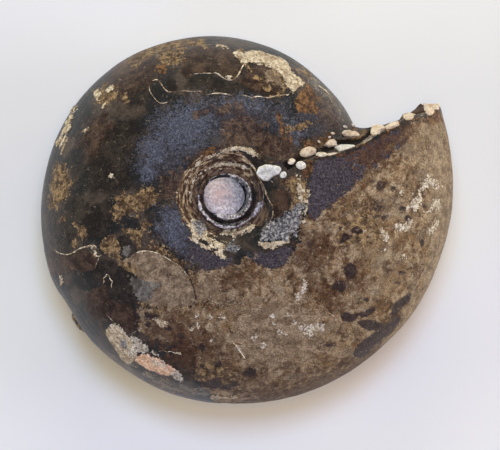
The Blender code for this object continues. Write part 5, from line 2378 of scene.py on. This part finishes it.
@dataclass(frozen=True)
class Studio:
    """Pale paper underneath, soft lights above and the camera straight down."""

    paper_size: float = 6.0
    paper_tone: Colour = (0.80, 0.80, 0.79)
    paper_shade: float = 0.98
    paper_cloud: float = 0.4
    paper_roughness: float = 0.9
    lights: tuple[Softbox, ...] = (
        Softbox("overhead_light", 0, 0, 0.15, Tint.AMBER, 0.20),
        Softbox("warm_window", 60, 13, 0.20, Tint.LILAC, 0.14),
        Softbox("cool_window", 90, 13, 0.20, Tint.COOL, 0.48),
        Softbox("right_box", 0, 52, 0.35, Tint.BLUE, 0.08),
        Softbox("back_right_box", 45, 52, 0.35, Tint.AMBER, 0.06),
        Softbox("front_left_box", 225, 52, 0.35, Tint.BLUE, 0.08),
        Softbox("right_fill", 0, 75, 0.40, Tint.CREAM, 0.14),
        Softbox("back_fill", 90, 75, 0.40, Tint.CREAM, 0.14),
        Softbox("left_fill", 180, 75, 0.40, Tint.CREAM, 0.13),
        Softbox("front_right_fill", 315, 75, 0.40, Tint.CREAM, 0.05),
    )
    sky: Colour = (0.08, 0.08, 0.08)
    sensor: float = 36.0
    sight: tuple[float, float] = (0.01, 10.0)

    def build(self) -> None:
        """Set up the paper, the lights, the sky and the camera."""
        self._paper()
        for light in self.lights:
            light.build()
        world = bpy.data.worlds.new("studio")
        bpy.context.scene.world = world
        world.use_nodes = True
        back = world.node_tree.nodes["Background"]
        back.inputs["Color"].default_value = (*self.sky, 1.0)
        back.inputs["Strength"].default_value = 1.0
        self._camera()
        view = bpy.context.scene.view_settings
        view.view_transform = "Standard"
        view.look = "None"

    def _paper(self) -> None:
        """Lay the pale paper that the fossil lies on."""
        grid = bpy.ops.mesh.primitive_grid_add
        paper = added(grid, "paper", x_subdivisions=8, y_subdivisions=8, size=self.paper_size)
        desk = Material("paper")
        shade = tuple(self.paper_shade * value for value in self.paper_tone)
        colour = desk.blend(desk.noise(desk.place, self.paper_cloud), shade, self.paper_tone)
        paper.data.materials.append(desk.done(colour, self.paper_roughness))

    def _camera(self) -> None:
        """Hang the camera straight above, framing the picture."""
        x, y = PICTURE.middle()
        place = (x, y, PICTURE.level + PICTURE.distance)
        camera = added(bpy.ops.object.camera_add, "camera", location=place, rotation=(0.0, 0.0, 0.0))
        camera.data.sensor_width = self.sensor
        camera.data.lens = self.sensor * PICTURE.distance / (PICTURE.width * PICTURE.pixel)
        camera.data.clip_start, camera.data.clip_end = self.sight
        bpy.context.scene.camera = camera


@dataclass(frozen=True)
class StuckMatrix:
    """The small lump of rock still stuck to the rim at the lower left."""

    radius: float = 33.9 * MM
    angle: float = math.radians(221.2)
    height: float = -2.0 * MM
    half_size: tuple[float, float, float] = (3.1 * MM, 2.3 * MM, 2.2 * MM)
    turn: float = math.radians(312.0)
    bumps: Unevenness = Unevenness(1.6 * MM, 7.7, 3)
    bump_height: float = 0.45 * MM
    mottle: Unevenness = Unevenness(1.2 * MM, 14.0, 3)
    mottle_swing: float = 2.5
    mottle_level: float = 1.0

    def build(self, material: Paint) -> Piece:
        """Model the lump and dress it.

        Args:
            material: the skin's finish.

        Returns:
            The lump.
        """
        piece = add_ball("stuck_matrix")
        middle = Matrix.Translation(Vector(COIL.placed(self.radius, self.angle, self.height)))
        turned = middle @ Matrix.Rotation(self.turn, 4, "Z")
        piece.data.transform(turned @ Matrix.Diagonal((*self.half_size, 1.0)))
        raise_points(piece.data, self.bumps.at(read_points(piece.data)) * self.bump_height)
        mottle = self.mottle.at(read_points(piece.data))
        show_layers(piece.data, OCHRE=mottle * self.mottle_swing + self.mottle_level, BROWN=1.0)
        finish_piece(piece, material)
        return piece


def main() -> None:
    """Build the fossil, piece by piece, and the studio around it."""
    logging.basicConfig(level=logging.INFO, format="%(name)s %(message)s")
    Studio().build()
    groups = Groups()
    skin_finish = Skin().material(groups)
    calcite = Calcite().material(groups)
    umbilicus = Umbilicus()
    shell = Shell(umbilicus).build(skin_finish)
    filling = umbilicus.build(skin_finish)
    Plug().build(PlugFinish().material(groups))
    skin = Surface(shell, filling)
    CalciteLumps().build(skin, calcite, skin_finish)
    ShellEdges().build(skin, EdgeFinish().material(groups))
    StuckMatrix().build(skin_finish)


if __name__ == "__main__":
    main()
